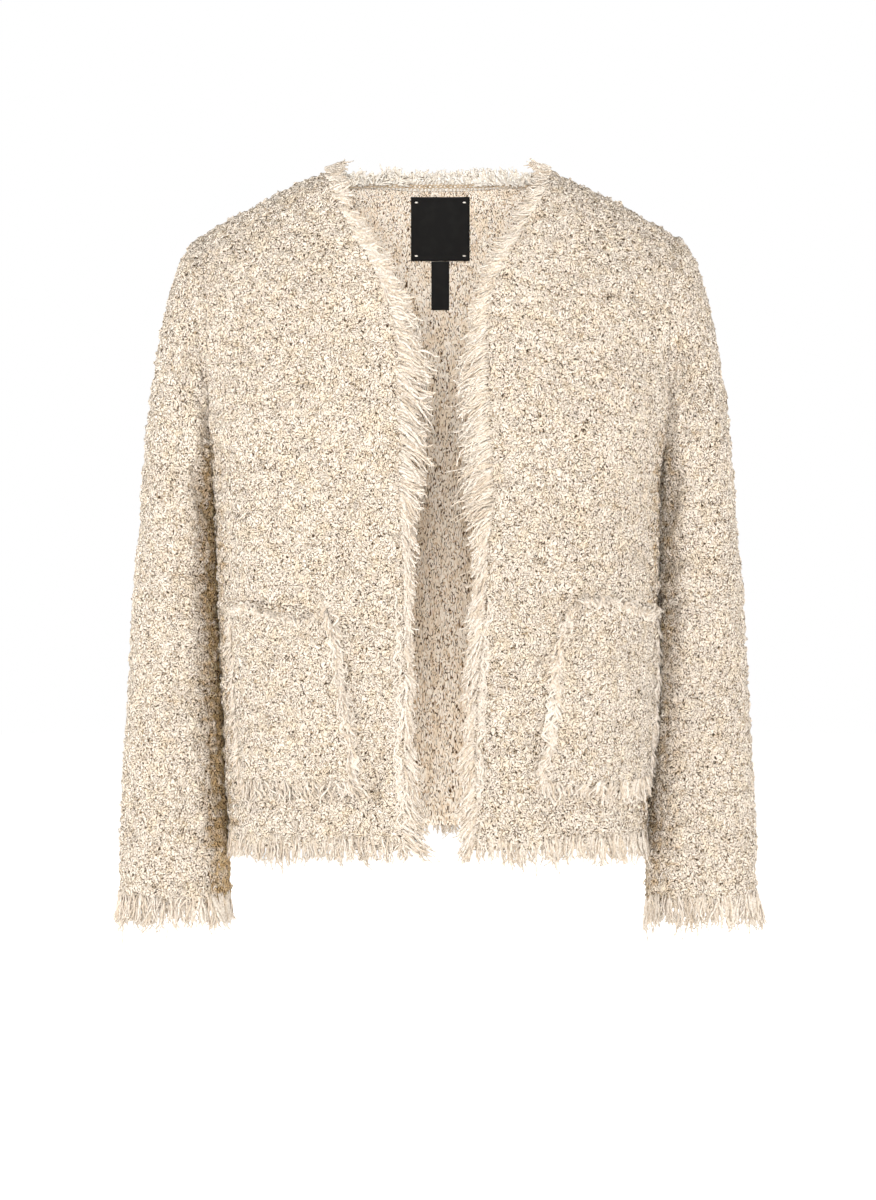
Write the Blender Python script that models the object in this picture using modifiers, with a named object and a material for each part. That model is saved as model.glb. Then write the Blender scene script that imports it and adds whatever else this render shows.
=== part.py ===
"""Open-front boucle jacket in its worn form, every cut piece a solid of its own.

Frame: metres, +Z up. The front faces -Y and +X is the wearer's left. The origin
is where the shoulders carry the jacket, midway between the two points where the
shoulder seams meet the neck. All sizes below are in millimetres.
"""

import math
from collections import namedtuple

import bmesh
import bpy
from mathutils import Vector

MM = 0.001

# Cloth thicknesses and the gap left between sewn pieces
WALL = 3.0
POCKET_WALL = 2.6
TAPE_WALL = 1.4
LABEL_WALL = 0.9
SEAM_GAP = 0.3
LAYER_GAP = 0.5
SLEEVE_GAP = 0.4
SEAM_STRIP = 3.0

# The seam plane runs through the shoulder seams, the armholes and the side seams
SEAM_Y = 0.0
NECK_HALF_WIDTH = 86.0
SHOULDER_FALL = 1.6

# The armhole: how far it reaches in front of the seam plane and behind it
ARMHOLE_FRONT = 57.0
ARMHOLE_BACK = 60.0
UNDERARM_LEVEL = 8
POCKET_TOP_LEVEL = 12
POCKET_BOTTOM_LEVEL = 15
HEM_LEVEL = 16
BACK_NECK_LEVEL = 2
LEVELS_TO_UNDERARM = [step / 2 for step in range(1, 2 * UNDERARM_LEVEL + 1)]
LEVELS = LEVELS_TO_UNDERARM + list(range(UNDERARM_LEVEL + 1, HEM_LEVEL + 1))
BACK_LEVELS = sorted(LEVELS + [1.75, 1.9])

# Panels: columns between the front edge, the pocket's two sides and the side seam
COLUMNS_BEFORE_POCKET = 2
COLUMNS_ON_POCKET = 4
COLUMNS_PAST_POCKET = 3
BACK_COLUMNS = 8

HEM_FRINGE = 17.0
BACK_HEM_FRINGE = 13.0
CUFF_FRINGE = 21.0
NECK_FRINGE = 6.0
POCKET_TOP_FRINGE = 11.0
POCKET_SIDE_FRINGE = 8.0
POCKET_BOTTOM_FRINGE = 20.0
TAPE_WIDTH = 14.0
TAPE_TOP_LEVEL = 2.02

LABEL_WIDTH = 51.0
LABEL_CENTRE_X = 2.0
LABEL_TOP_LEVEL = 2.37
LABEL_BOTTOM_LEVEL = 3.48
LOOP_WIDTH = 14.6
LOOP_TOP_LEVEL = 3.49
LOOP_BOTTOM_LEVEL = 4.34

CREAM = (0.76, 0.66, 0.54, 1.0)
CREAM_LIGHT = (0.84, 0.76, 0.66, 1.0)
BLACK = (0.02, 0.02, 0.02, 1.0)

# One row for each level of the body, from the shoulder seam down to the hem.
# middle, side: height at the centre line and at the armhole or side seam
# width: half width there; front, back: depth of the form from the seam plane
# square: exponent of the rounded section (2 is an ellipse)
# edge, fringe: where the cloth of each front ends, and its fringe's reach past it
Level = namedtuple(
    "Level",
    "middle side width front back square edge_right fringe_right edge_left fringe_left")
BODY = (
    Level(20, -57, 196, 0, 0, 3.0, 86, 9, 86, 9),
    Level(12, -63.3, 195.4, 27, 24, 3.0, 86, 10, 86, 10),
    Level(-1, -81.2, 194, 49, 45, 3.0, 83, 12, 83, 12),
    Level(-47, -107.9, 192, 74, 69, 3.0, 67, 16, 66, 16),
    Level(-97, -139.5, 190.3, 95, 87, 3.0, 42, 20, 42, 17),
    Level(-142, -171.1, 188.8, 107, 98, 2.9, 28, 22, 33, 15),
    Level(-181, -197.8, 187.5, 116, 102, 2.8, 25, 23, 33, 19),
    Level(-205, -215.7, 186.5, 119.5, 103.5, 2.7, 25, 22, 34, 21),
    Level(-217, -222, 186, 121, 104, 2.65, 25, 22, 35, 22),
    Level(-240, -240, 185.3, 123, 105, 2.6, 24, 22, 36, 22),
    Level(-285, -285, 184, 124, 103, 2.6, 24, 14, 37, 18),
    Level(-328, -328, 182.5, 122.5, 101.5, 2.6, 24, 9, 35, 11),
    Level(-371, -371, 181, 121, 103, 2.6, 23, 7, 33, 12),
    Level(-420, -420, 179.5, 121, 107, 2.55, 23, 7, 28, 12),
    Level(-470, -470, 177.5, 120.5, 110, 2.5, 23, 7, 25, 10),
    Level(-513, -513, 175.3, 119, 110, 2.5, 22, 10, 25, 12),
    Level(-555, -555, 172.5, 118, 109, 2.5, 22, 16, 26, 13),
)

# One row for each ring of a sleeve below the armhole.
# outer, inner: the ring's points on the outer side of the arm and next to the body
# centre_y, depth: the ring's middle and its half depth, front to back
Ring = namedtuple("Ring", "outer_x outer_z inner_x inner_z centre_y depth")
SLEEVE = (
    Ring(206, -64, 187, -225.5, 1.5, 58.0),
    Ring(217.5, -84, 187.8, -230, 2.8, 59.8),
    Ring(228, -121, 188.2, -234, 4.3, 61.8),
    Ring(236, -165, 188.2, -238, 6.0, 63.0),
    Ring(242.5, -205, 188.2, -244, 7.5, 63.0),
    Ring(247, -250, 187.7, -262, 9.0, 62.0),
    Ring(250.5, -300, 186.8, -302, 9.5, 59.5),
    Ring(255.5, -355, 185.2, -355, 9.0, 56.0),
    Ring(259, -420, 183.3, -420, 5.0, 51.5),
    Ring(262.5, -490, 180.3, -490, -0.5, 47.5),
    Ring(265.3, -555, 177.3, -555, -6.0, 43.5),
    Ring(266, -617, 176.5, -617, -10.0, 40.8),
)
SLEEVE_SQUARE = 2.2

# Each front: its side of the body, and the share of the row's length from the
# front edge at which the pocket's inner and outer sides lie
Front = namedtuple("Front", "name sign pocket_inner pocket_outer")
FRONTS = (
    Front("right", -1, 0.21, 0.71),
    Front("left", 1, 0.29, 0.83),
)


def smooth(before, first, second, after, part):
    """Value on the smooth curve between first and second, at part 0 to 1."""
    return 0.5 * (2 * first + (second - before) * part
                  + (2 * before - 5 * first + 4 * second - after) * part ** 2
                  + (3 * first - before - 3 * second + after) * part ** 3)


def body_at(level):
    """The body's row at any level. Over the shoulder the form is its own mirror."""
    index = min(int(level), len(BODY) - 2)
    first, second = BODY[index], BODY[index + 1]
    if index:
        before = BODY[index - 1]
    else:
        before = second._replace(front=-second.front, back=-second.back)
    if index + 2 < len(BODY):
        after = BODY[index + 2]
    else:
        after = [2 * b - a for a, b in zip(first, second)]
    columns = zip(before, first, second, after)
    return Level(*(smooth(*column, level - index) for column in columns))


def armhole_reach(level, back):
    """How far the armhole lies from the seam plane: nothing from the underarm down."""
    if level >= UNDERARM_LEVEL:
        return 0.0
    widest = ARMHOLE_BACK if back else ARMHOLE_FRONT
    return widest * math.sin(math.pi * level / UNDERARM_LEVEL)


def on_body(level, x, back, least=0.0):
    """Point of the outer surface at a level and an x, in front or behind.

    The rounded section is sized so that it passes through the armhole's edge.
    """
    row = body_at(level)
    depth = max(row.back if back else row.front, 1e-6)
    square = row.square
    edge = min(armhole_reach(level, back) / depth, 0.999)
    half_width = row.width / (1 - edge ** square) ** (1 / square)
    across = min(abs(x) / half_width, 1.0)
    reach = max(depth * (1 - across ** square) ** (1 / square), least)
    fall = (abs(x) / row.width) ** SHOULDER_FALL
    z = row.middle + (row.side - row.middle) * fall
    return Vector((x, SEAM_Y + (reach if back else -reach), z))


def spread(points, shares):
    """Points at the given shares of a polyline's length, then one near its end."""
    lengths = [0.0]
    for first, second in zip(points, points[1:]):
        lengths.append(lengths[-1] + (second - first).length)
    total = lengths[-1]
    wanted = [share * (total - SEAM_STRIP) for share in shares] + [total]
    result = []
    index = 0
    for distance in wanted:
        while index < len(points) - 2 and lengths[index + 1] < distance:
            index += 1
        step = lengths[index + 1] - lengths[index]
        part = (distance - lengths[index]) / step if step else 0.0
        result.append(points[index].lerp(points[index + 1], min(part, 1.0)))
    return result


def body_row(level, inner_x, sign, back, shares, least):
    """One row of a panel, from its inner edge out to the armhole or side seam."""
    samples = 60
    outer_x = body_at(level).width
    points = []
    for step in range(samples + 1):
        part = math.sin(0.5 * math.pi * step / samples)
        x = inner_x + (outer_x - inner_x) * part
        points.append(on_body(level, sign * x, back, least))
    return spread(points, shares)


def panel_rows(inner_edge, sign, back, shares):
    """All rows of a panel. The first two make a flat strip along the shoulder seam."""
    half_gap = SEAM_GAP / 2
    rows = [body_row(0, inner_edge(0), sign, back, shares, least)
            for least in (half_gap, SEAM_STRIP)]
    rows += [body_row(level, inner_edge(level), sign, back, shares, half_gap)
             for level in (BACK_LEVELS if back else LEVELS)]
    return rows


def back_neck_x(level):
    """Half width of the back neckline: a quarter ellipse from shoulder to centre."""
    part = min(level / BACK_NECK_LEVEL, 1.0)
    return NECK_HALF_WIDTH * math.sqrt(1 - part ** 2)


def front_edge(name):
    """Function giving the x at which a front's cloth ends at each level."""
    return lambda level: getattr(body_at(level), "edge_" + name)


def front_shares(front):
    """Columns of a front, spaced so that the pocket's sides fall on columns."""
    inner, outer = front.pocket_inner, front.pocket_outer
    stretches = ((0.0, inner, COLUMNS_BEFORE_POCKET),
                 (inner, outer, COLUMNS_ON_POCKET),
                 (outer, 1.0, COLUMNS_PAST_POCKET))
    shares = [start + (end - start) * step / count
              for start, end, count in stretches for step in range(count)]
    return shares + [1.0]


def row_index(level):
    """Index in a panel's rows of a whole level at or below the underarm."""
    return 2 + LEVELS.index(level)


def between(rows, row, column):
    """Point on a panel's own facets at a fractional row and column."""
    top = min(int(row), len(rows) - 2)
    left = min(int(column), len(rows[0]) - 2)
    upper = rows[top][left].lerp(rows[top][left + 1], column - left)
    lower = rows[top + 1][left].lerp(rows[top + 1][left + 1], column - left)
    return upper.lerp(lower, row - top)


def raised(rows, row_list, column_list, distance):
    """Grid made from a panel's points, moved out from it along its normals."""
    step = 0.5
    last_row, last_column = len(rows) - 1, len(rows[0]) - 1
    grid = []
    for row in row_list:
        line = []
        for column in column_list:
            down = (between(rows, min(row + step, last_row), column)
                    - between(rows, max(row - step, 0), column))
            across = (between(rows, row, min(column + step, last_column))
                      - between(rows, row, max(column - step, 0)))
            normal = down.cross(across).normalized()
            if normal.y > 0:
                normal.negate()
            line.append(between(rows, row, column) + normal * distance)
        grid.append(line)
    return grid


def material(name, colour, roughness):
    """A Principled material in one colour."""
    result = bpy.data.materials.get(name) or bpy.data.materials.new(name)
    result.use_nodes = True
    shader = result.node_tree.nodes["Principled BSDF"]
    shader.inputs["Base Color"].default_value = colour
    shader.inputs["Roughness"].default_value = roughness
    shader.inputs["Metallic"].default_value = 0.0
    return result


def shell(collection, name, grid, outward, wall, finish, closed=False, offset=-1.0,
          mirrored=False):
    """A cloth piece: an open sheet through a grid of points, thickened by Solidify.

    outward points away from the cloth's inner side at the middle of the grid.
    offset -1 thickens inwards from the points, and 1 thickens outwards.
    """
    mesh = bpy.data.meshes.new(name)
    sheet = bmesh.new()
    vertices = [[sheet.verts.new(point * MM) for point in row] for row in grid]
    width = len(grid[0])
    for upper, lower in zip(vertices, vertices[1:]):
        for column in range(width if closed else width - 1):
            after = (column + 1) % width
            corners = (upper[column], lower[column], lower[after], upper[after])
            distinct = list(dict.fromkeys(corners))
            sheet.faces.new(distinct)
    sheet.normal_update()
    sheet.faces.ensure_lookup_table()
    middle = sheet.faces[len(sheet.faces) // 2]
    away = outward(middle.calc_center_median() / MM)
    if middle.normal.dot(away) < 0:
        bmesh.ops.reverse_faces(sheet, faces=sheet.faces[:])
    sheet.to_mesh(mesh)
    sheet.free()
    mesh.shade_smooth()
    mesh.materials.append(finish)
    piece = bpy.data.objects.new(name, mesh)
    collection.objects.link(piece)
    if mirrored:
        mirror = piece.modifiers.new("Other half", "MIRROR")
        mirror.merge_threshold = 0.00001
    thicken = piece.modifiers.new("Cloth", "SOLIDIFY")
    thicken.thickness = wall * MM
    thicken.offset = offset
    return piece


def from_axis(point):
    """Direction away from the body's upright middle line."""
    return Vector((point.x, point.y, 0.0)).normalized()


def build_back(collection, finish):
    """The back, one piece from side to side, modelled as a mirrored half."""
    shares = [step / BACK_COLUMNS for step in range(BACK_COLUMNS + 1)]
    rows = panel_rows(back_neck_x, 1, True, shares)
    shell(collection, "back", rows, from_axis, WALL, finish, mirrored=True)
    return rows


def build_front(collection, finish, front):
    """One front, from its edge to the side seam."""
    rows = panel_rows(front_edge(front.name), front.sign, False, front_shares(front))
    shell(collection, "front_" + front.name, rows, from_axis, WALL, finish)
    return rows


def armhole(sign):
    """The armhole's edge as one loop: over the front to the underarm, then behind."""
    ways = [(0, False)] + [(level, False) for level in LEVELS_TO_UNDERARM]
    ways += [(level, True) for level in reversed(LEVELS_TO_UNDERARM[:-1])]
    loop = []
    for level, back in ways:
        row = body_at(level)
        reach = armhole_reach(level, back)
        loop.append(Vector((sign * (row.width + SLEEVE_GAP),
                            SEAM_Y + (reach if back else -reach), row.side)))
    return loop


def sleeve_ring(ring, sign, count, drop=0.0):
    """A ring of the sleeve, starting on the outer side and turning by the front."""
    outer = Vector((ring.outer_x, ring.centre_y, ring.outer_z - drop))
    inner = Vector((ring.inner_x, ring.centre_y, ring.inner_z - drop))
    centre, reach = (outer + inner) / 2, (outer - inner) / 2
    points = []
    for step in range(count):
        turn = 2 * math.pi * step / count
        out, front = math.cos(turn), math.sin(turn)
        out = math.copysign(abs(out) ** (2 / SLEEVE_SQUARE), out)
        front = math.copysign(abs(front) ** (2 / SLEEVE_SQUARE), front)
        point = centre + reach * out + Vector((0.0, -ring.depth * front, 0.0))
        point.x *= sign
        points.append(point)
    return points


def build_sleeve(collection, finish, fringe_finish, name, sign):
    """A sleeve from the armhole to the cuff, and the cuff's fringe below it."""
    start = armhole(sign)
    rings = [start] + [sleeve_ring(ring, sign, len(start)) for ring in SLEEVE]
    cuff = SLEEVE[-1]
    middle_x = sign * (cuff.outer_x + cuff.inner_x) / 2

    def from_arm(point):
        return Vector((point.x - middle_x, point.y - cuff.centre_y, 0.0)).normalized()

    shell(collection, "sleeve_" + name, rings, from_arm, WALL, finish, closed=True)
    reach = [sleeve_ring(cuff, sign, len(start), drop)
             for drop in (SEAM_GAP, CUFF_FRINGE)]
    shell(collection, "fringe_cuff_" + name, reach, from_arm, WALL, fringe_finish,
          closed=True)


def build_front_fringe(collection, finish, front):
    """The fringe along the neckline and down the front edge, on the same form."""
    rows = []
    steps = [(0, SEAM_GAP / 2), (0, SEAM_STRIP)]
    steps += [(level, 0.0) for level in LEVELS]
    for level, least in steps:
        row = body_at(level)
        edge = getattr(row, "edge_" + front.name) - SEAM_GAP
        tip = edge - getattr(row, "fringe_" + front.name)
        rows.append([on_body(level, front.sign * x, False, least) for x in (tip, edge)])
    shell(collection, "fringe_front_" + front.name, rows,
          lambda point: Vector((0.0, -1.0, 0.0)), WALL, finish)


def build_hem_fringe(collection, finish, name, rows, reach, mirrored=False):
    """The fringe that hangs from a panel's hem."""
    strip = [[point - Vector((0.0, 0.0, drop)) for point in rows[-1]]
             for drop in (SEAM_GAP, reach)]
    shell(collection, name, strip, from_axis, WALL, finish, mirrored=mirrored)


def build_pocket(collection, finish, fringe_finish, front, rows):
    """A patch pocket from the front's own points, with fringe on its four sides."""
    first = COLUMNS_BEFORE_POCKET
    last = first + COLUMNS_ON_POCKET
    top = row_index(POCKET_TOP_LEVEL)
    bottom = row_index(POCKET_BOTTOM_LEVEL)
    row_list = list(range(top, bottom + 1))
    column_list = list(range(first, last + 1))
    name = "pocket_" + front.name

    def add(piece, rows_here, columns_here, wall, look):
        grid = raised(rows, rows_here, columns_here, SEAM_GAP)
        shell(collection, piece, grid, from_axis, wall, look, offset=1.0)

    add(name, row_list, column_list, POCKET_WALL, finish)

    above = (rows[top][first] - rows[top - 1][first]).length
    below = (rows[bottom + 1][first] - rows[bottom][first]).length
    inward = (rows[top][first] - rows[top][first - 1]).length
    outward = (rows[top][last + 1] - rows[top][last]).length
    trims = (
        ("_fringe_top", (top - POCKET_TOP_FRINGE / above, top - SEAM_GAP / above),
         column_list),
        ("_fringe_bottom",
         (bottom + SEAM_GAP / below, bottom + POCKET_BOTTOM_FRINGE / below),
         column_list),
        ("_fringe_inner", row_list,
         (first - POCKET_SIDE_FRINGE / inward, first - SEAM_GAP / inward)),
        ("_fringe_outer", row_list,
         (last + SEAM_GAP / outward, last + POCKET_SIDE_FRINGE / outward)),
    )
    for suffix, rows_here, columns_here in trims:
        add(name + suffix, rows_here, columns_here, POCKET_WALL, fringe_finish)


def body_normal(level, x, back):
    """Outward normal of the body's outer surface."""
    level = max(level, 0.2)
    step = 0.1
    down = on_body(level + step, x, back) - on_body(level - step, x, back)
    across = on_body(level, x + 1.0, back) - on_body(level, x - 1.0, back)
    normal = down.cross(across).normalized()
    facing = Vector((x, on_body(level, x, back).y, 60.0))
    return -normal if normal.dot(facing) < 0 else normal


def neck_point(turn, width, level, least, inside=0.0):
    """Point on an ellipse around the back of the neck, turned from the centre.

    It stays at least so far behind the seam plane. inside moves it in from the
    outer surface.
    """
    x = width * math.sin(turn)
    height = max(level * math.cos(turn), 0.0)
    point = on_body(height, x, True, least)
    if inside:
        normal = body_normal(height, x, True)
        normal.y = max(normal.y, 0.0)
        point -= normal * inside
    return point


def build_neck(collection, tape_finish, fringe_finish):
    """The tape inside the back neck, and the fringe that stands on the neck's edge."""
    half = [math.acos(level / BACK_NECK_LEVEL)
            for level in [0.0] + BACK_LEVELS if level <= BACK_NECK_LEVEL]
    turns = [-turn for turn in half] + half[-2::-1]
    slope = on_body(BACK_NECK_LEVEL + 1, 0, True) - on_body(BACK_NECK_LEVEL, 0, True)
    lower_level = BACK_NECK_LEVEL + TAPE_WIDTH / slope.length
    inside = WALL + LAYER_GAP
    strip = [[neck_point(turn, width, level, SEAM_GAP / 2, inside) for turn in turns]
             for width, level in ((NECK_HALF_WIDTH + 2 * LAYER_GAP, TAPE_TOP_LEVEL),
                                  (NECK_HALF_WIDTH + TAPE_WIDTH, lower_level))]
    up = Vector((0.0, 0.0, 1.0))
    shell(collection, "neck_tape", strip, lambda point: up, TAPE_WALL, tape_finish)

    stand = []
    for rise in (SEAM_GAP, NECK_FRINGE):
        line = []
        for turn in turns:
            point = neck_point(turn, NECK_HALF_WIDTH, BACK_NECK_LEVEL, 3 * SEAM_GAP)
            inward = Vector((-math.sin(turn), -math.cos(turn), 0.0)) * SEAM_GAP
            line.append(point + inward + up * rise)
        stand.append(line)
    shell(collection, "fringe_back_neck", stand, from_axis, WALL, fringe_finish)


def build_label(collection, finish, name, half_width, top_level, bottom_level, inside):
    """A label lying inside the back: the back's points moved in."""
    count = 3
    rows = []
    for row in range(count + 1):
        level = top_level + (bottom_level - top_level) * row / count
        spots = [LABEL_CENTRE_X + side * half_width for side in (-1.0, 0.0, 1.0)]
        rows.append([on_body(level, x, True) - body_normal(level, x, True) * inside
                     for x in spots])
    shell(collection, name, rows, from_axis, LABEL_WALL, finish)


def build_jacket():
    """The whole jacket."""
    for thing in list(bpy.data.objects):
        bpy.data.objects.remove(thing, do_unlink=True)
    collection = bpy.data.collections.new("boucle_jacket")
    bpy.context.scene.collection.children.link(collection)

    knit = material("boucle_knit", CREAM, 0.95)
    pocket_knit = material("pocket_knit", CREAM, 0.95)
    trim = material("fringe_yarn", CREAM_LIGHT, 0.9)
    tape = material("neck_tape", CREAM_LIGHT, 0.85)
    woven = material("label_black", BLACK, 0.6)

    back_rows = build_back(collection, knit)
    build_hem_fringe(collection, trim, "fringe_hem_back", back_rows, BACK_HEM_FRINGE,
                     mirrored=True)
    for front in FRONTS:
        rows = build_front(collection, knit, front)
        build_front_fringe(collection, trim, front)
        build_hem_fringe(collection, trim, "fringe_hem_" + front.name, rows, HEM_FRINGE)
        build_pocket(collection, pocket_knit, trim, front, rows)
        build_sleeve(collection, knit, trim, front.name, front.sign)

    build_neck(collection, tape, trim)
    inside = WALL + LAYER_GAP
    build_label(collection, woven, "label", LABEL_WIDTH / 2, LABEL_TOP_LEVEL,
                LABEL_BOTTOM_LEVEL, inside)
    build_label(collection, woven, "label_loop", LOOP_WIDTH / 2,
                LOOP_TOP_LEVEL, LOOP_BOTTOM_LEVEL, inside)


build_jacket()
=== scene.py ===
"""Dresses the open-front boucle jacket: cloth, yarn curls, fringes, neck tape and labels.

Blender works in metres, +Z up, the front towards -Y and +X to the wearer's left. The
sizes in the classes are millimetres, and MM turns them into metres when a mesh is made.
"""

import itertools
import logging
import math
from collections.abc import Callable, Sequence
from dataclasses import dataclass, field
from enum import Enum
from functools import partial

import bmesh
import bpy
import numpy as np
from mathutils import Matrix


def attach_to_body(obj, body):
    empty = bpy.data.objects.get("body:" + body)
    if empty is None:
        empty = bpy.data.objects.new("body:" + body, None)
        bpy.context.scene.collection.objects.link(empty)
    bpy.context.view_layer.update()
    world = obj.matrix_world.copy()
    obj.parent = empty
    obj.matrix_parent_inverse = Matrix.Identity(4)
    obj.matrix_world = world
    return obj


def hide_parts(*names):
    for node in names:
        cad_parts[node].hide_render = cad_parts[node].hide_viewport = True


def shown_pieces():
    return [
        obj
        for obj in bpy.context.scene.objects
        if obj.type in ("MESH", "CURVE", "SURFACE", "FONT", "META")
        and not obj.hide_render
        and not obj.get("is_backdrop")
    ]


MM = 0.001
BODY = "root"
CUT_MAP = "Cut"
UP = np.array((0.0, 0.0, 1.0))
DOWN = -UP

Array = np.ndarray
Draws = np.random.Generator
Pair = tuple[float, float]
Triple = tuple[float, float, float]
Piece = bpy.types.Object
Material = bpy.types.Material
Socket = bpy.types.NodeSocket
Colour = Socket | Triple

logging.basicConfig(level=logging.INFO, format="%(message)s")
log = logging.getLogger("jacket")

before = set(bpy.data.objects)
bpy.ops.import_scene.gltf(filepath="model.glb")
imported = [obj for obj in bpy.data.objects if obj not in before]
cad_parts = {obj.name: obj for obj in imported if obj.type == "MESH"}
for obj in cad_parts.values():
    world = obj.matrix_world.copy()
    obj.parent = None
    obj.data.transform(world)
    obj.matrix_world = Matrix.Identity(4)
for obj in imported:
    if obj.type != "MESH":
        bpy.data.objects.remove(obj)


class Face(Enum):
    """The two halves of the body's form, by their side of the seam plane."""

    FRONT = -1
    BACK = 1


class Held(Enum):
    """How a cut piece of cloth is held."""

    HUNG = "hung"
    LAID = "laid"


# ---- small helpers


def unit(vectors: Array) -> Array:
    """Vectors at length one."""
    length = np.linalg.norm(vectors, axis=-1, keepdims=True)
    return vectors / np.maximum(length, 1e-9)


def ramp(value: Array, start: float, span: float) -> Array:
    """Rises from 0 at the start to 1 a span further on."""
    return np.clip((value - start) / span, 0, 1)


def bell(value: Array, middle: float, spread: float) -> Array:
    """1 in the middle, falling away softly on both sides of it."""
    return np.exp(-((value - middle) / spread) ** 2)


def through_rows(above: Array, rows: Array, place: Array) -> Array:
    """Values on the smooth curve through a table's rows.

    Args:
        above: The row before the first.
        rows: The table's rows.
        place: Fractional rows to read it at.

    Returns:
        The values there, a row's worth for each place.
    """
    padded = np.concatenate([above[None], rows, 2 * rows[-1:] - rows[-2:-1]])
    index = np.clip(place.astype(int), 0, len(rows) - 2)
    part = (place - index).reshape(place.shape + (1,) * (rows.ndim - 1))
    before, first, second, after = (padded[index + step] for step in range(4))
    return 0.5 * (2 * first + (second - before) * part
                  + (2 * before - 5 * first + 4 * second - after) * part ** 2
                  + (3 * first - before - 3 * second + after) * part ** 3)


def ring_closed(ring: Array) -> Array:
    """A loop's points with the first one again at the end."""
    return np.concatenate([ring, ring[:1]])


def lengths_along(points: Array) -> Array:
    """Distance from the start of a polyline to each of its points."""
    steps = np.linalg.norm(np.diff(points, axis=0), axis=1)
    return np.concatenate([[0.0], np.cumsum(steps)])


def evenly(points: Array, shares: Array) -> Array:
    """Points of a polyline, with all that its rows hold, at shares of its length."""
    along = lengths_along(points[:, :3])
    return np.stack([np.interp(shares * along[-1], along, column) for column in points.T], -1)


def grid_normals(points: Array, closed: bool) -> Array:
    """Normals of a grid of points, from its rows and columns.

    Args:
        points: The grid, (rows, columns, 3).
        closed: Whether the last column joins the first.

    Returns:
        Unit normals of the same shape, on the side that the column order gives.
    """
    down = np.gradient(points, axis=0)
    if closed:
        wrapped = np.concatenate([points[:, -1:], points, points[:, :1]], axis=1)
        across = (wrapped[:, 2:] - wrapped[:, :-2]) / 2
    else:
        across = np.gradient(points, axis=1)
    return unit(np.cross(down, across))


def turned_out(normals: Array, points: Array) -> Array:
    """Normals of the body's cloth, turned away from the wearer."""
    away = points * np.array((1.0, 1.0, 0.0)) + 60 * UP
    return normals * np.sign(np.sum(normals * away, axis=-1, keepdims=True))


def flat_cut(points: Array, sign: int = 1) -> Array:
    """Places of a grid's points on the flat cut.

    Args:
        points: The grid, (rows, columns, 3).
        sign: -1 where the columns run towards the wearer's right.

    Returns:
        Distance along each row, and down the middle column.
    """
    across = np.stack([lengths_along(row) for row in points])
    down = lengths_along(points[:, points.shape[1] // 2])[:, None]
    return np.stack(np.broadcast_arrays(sign * across, -down), axis=-1)


def read_grid(grid: Array, row: Array, column: Array, closed: bool = False) -> Array:
    """Values between a grid's points.

    Args:
        grid: Values by row and column, with any further axes.
        row: Fractional rows.
        column: Fractional columns of the same shape.
        closed: Whether the last column joins the first.

    Returns:
        The values, one for each row and column given.
    """
    rows, columns = grid.shape[:2]
    row = np.clip(row, 0, rows - 1.001)
    column = column % columns if closed else np.clip(column, 0, columns - 1.001)
    top, left = row.astype(int), column.astype(int)
    right = (left + 1) % columns
    extra = (1,) * (grid.ndim - 2)
    down = (row - top).reshape(row.shape + extra)
    over = (column - left).reshape(row.shape + extra)
    upper = grid[top, left] * (1 - over) + grid[top, right] * over
    lower = grid[top + 1, left] * (1 - over) + grid[top + 1, right] * over
    return upper * (1 - down) + lower * down


# ---- uneven surfaces


class Unevenness:
    """Repeatable unevenness in space: soft swells and rounded nubs."""

    TABLE = 4096
    PRIMES = np.array((73856093, 19349663, 83492791))

    def __init__(self, seed: int) -> None:
        """Fixes the table of values that the unevenness is read from."""
        self.values = np.random.default_rng(seed).uniform(-1.0, 1.0, (self.TABLE, 4))[:, 3]

    def lookup(self, cells: Array) -> Array:
        """A fixed value, -1 to 1, for each whole cell."""
        return self.values[np.bitwise_xor.reduce(cells * self.PRIMES, axis=-1) % self.TABLE]

    def swell(self, points: Array, cell: float) -> Array:
        """Soft noise, about -1 to 1, that changes over the given distance."""
        scaled = points / cell
        base = np.floor(scaled).astype(np.int64)
        part = scaled - base
        fade = part * part * (3 - 2 * part)
        total = np.zeros(points.shape[:-1])
        for corner in itertools.product((0, 1), repeat=3):
            weight = np.prod(np.where(corner, fade, 1 - fade), axis=-1)
            total += self.lookup(base + np.array(corner)) * weight
        return total

    def nubs(self, points: Array, cell: float) -> Array:
        """Rounded lumps between narrow valleys: 0 in a valley, about 0.5 on a lump."""
        return np.abs(self.swell(points, cell))


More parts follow.
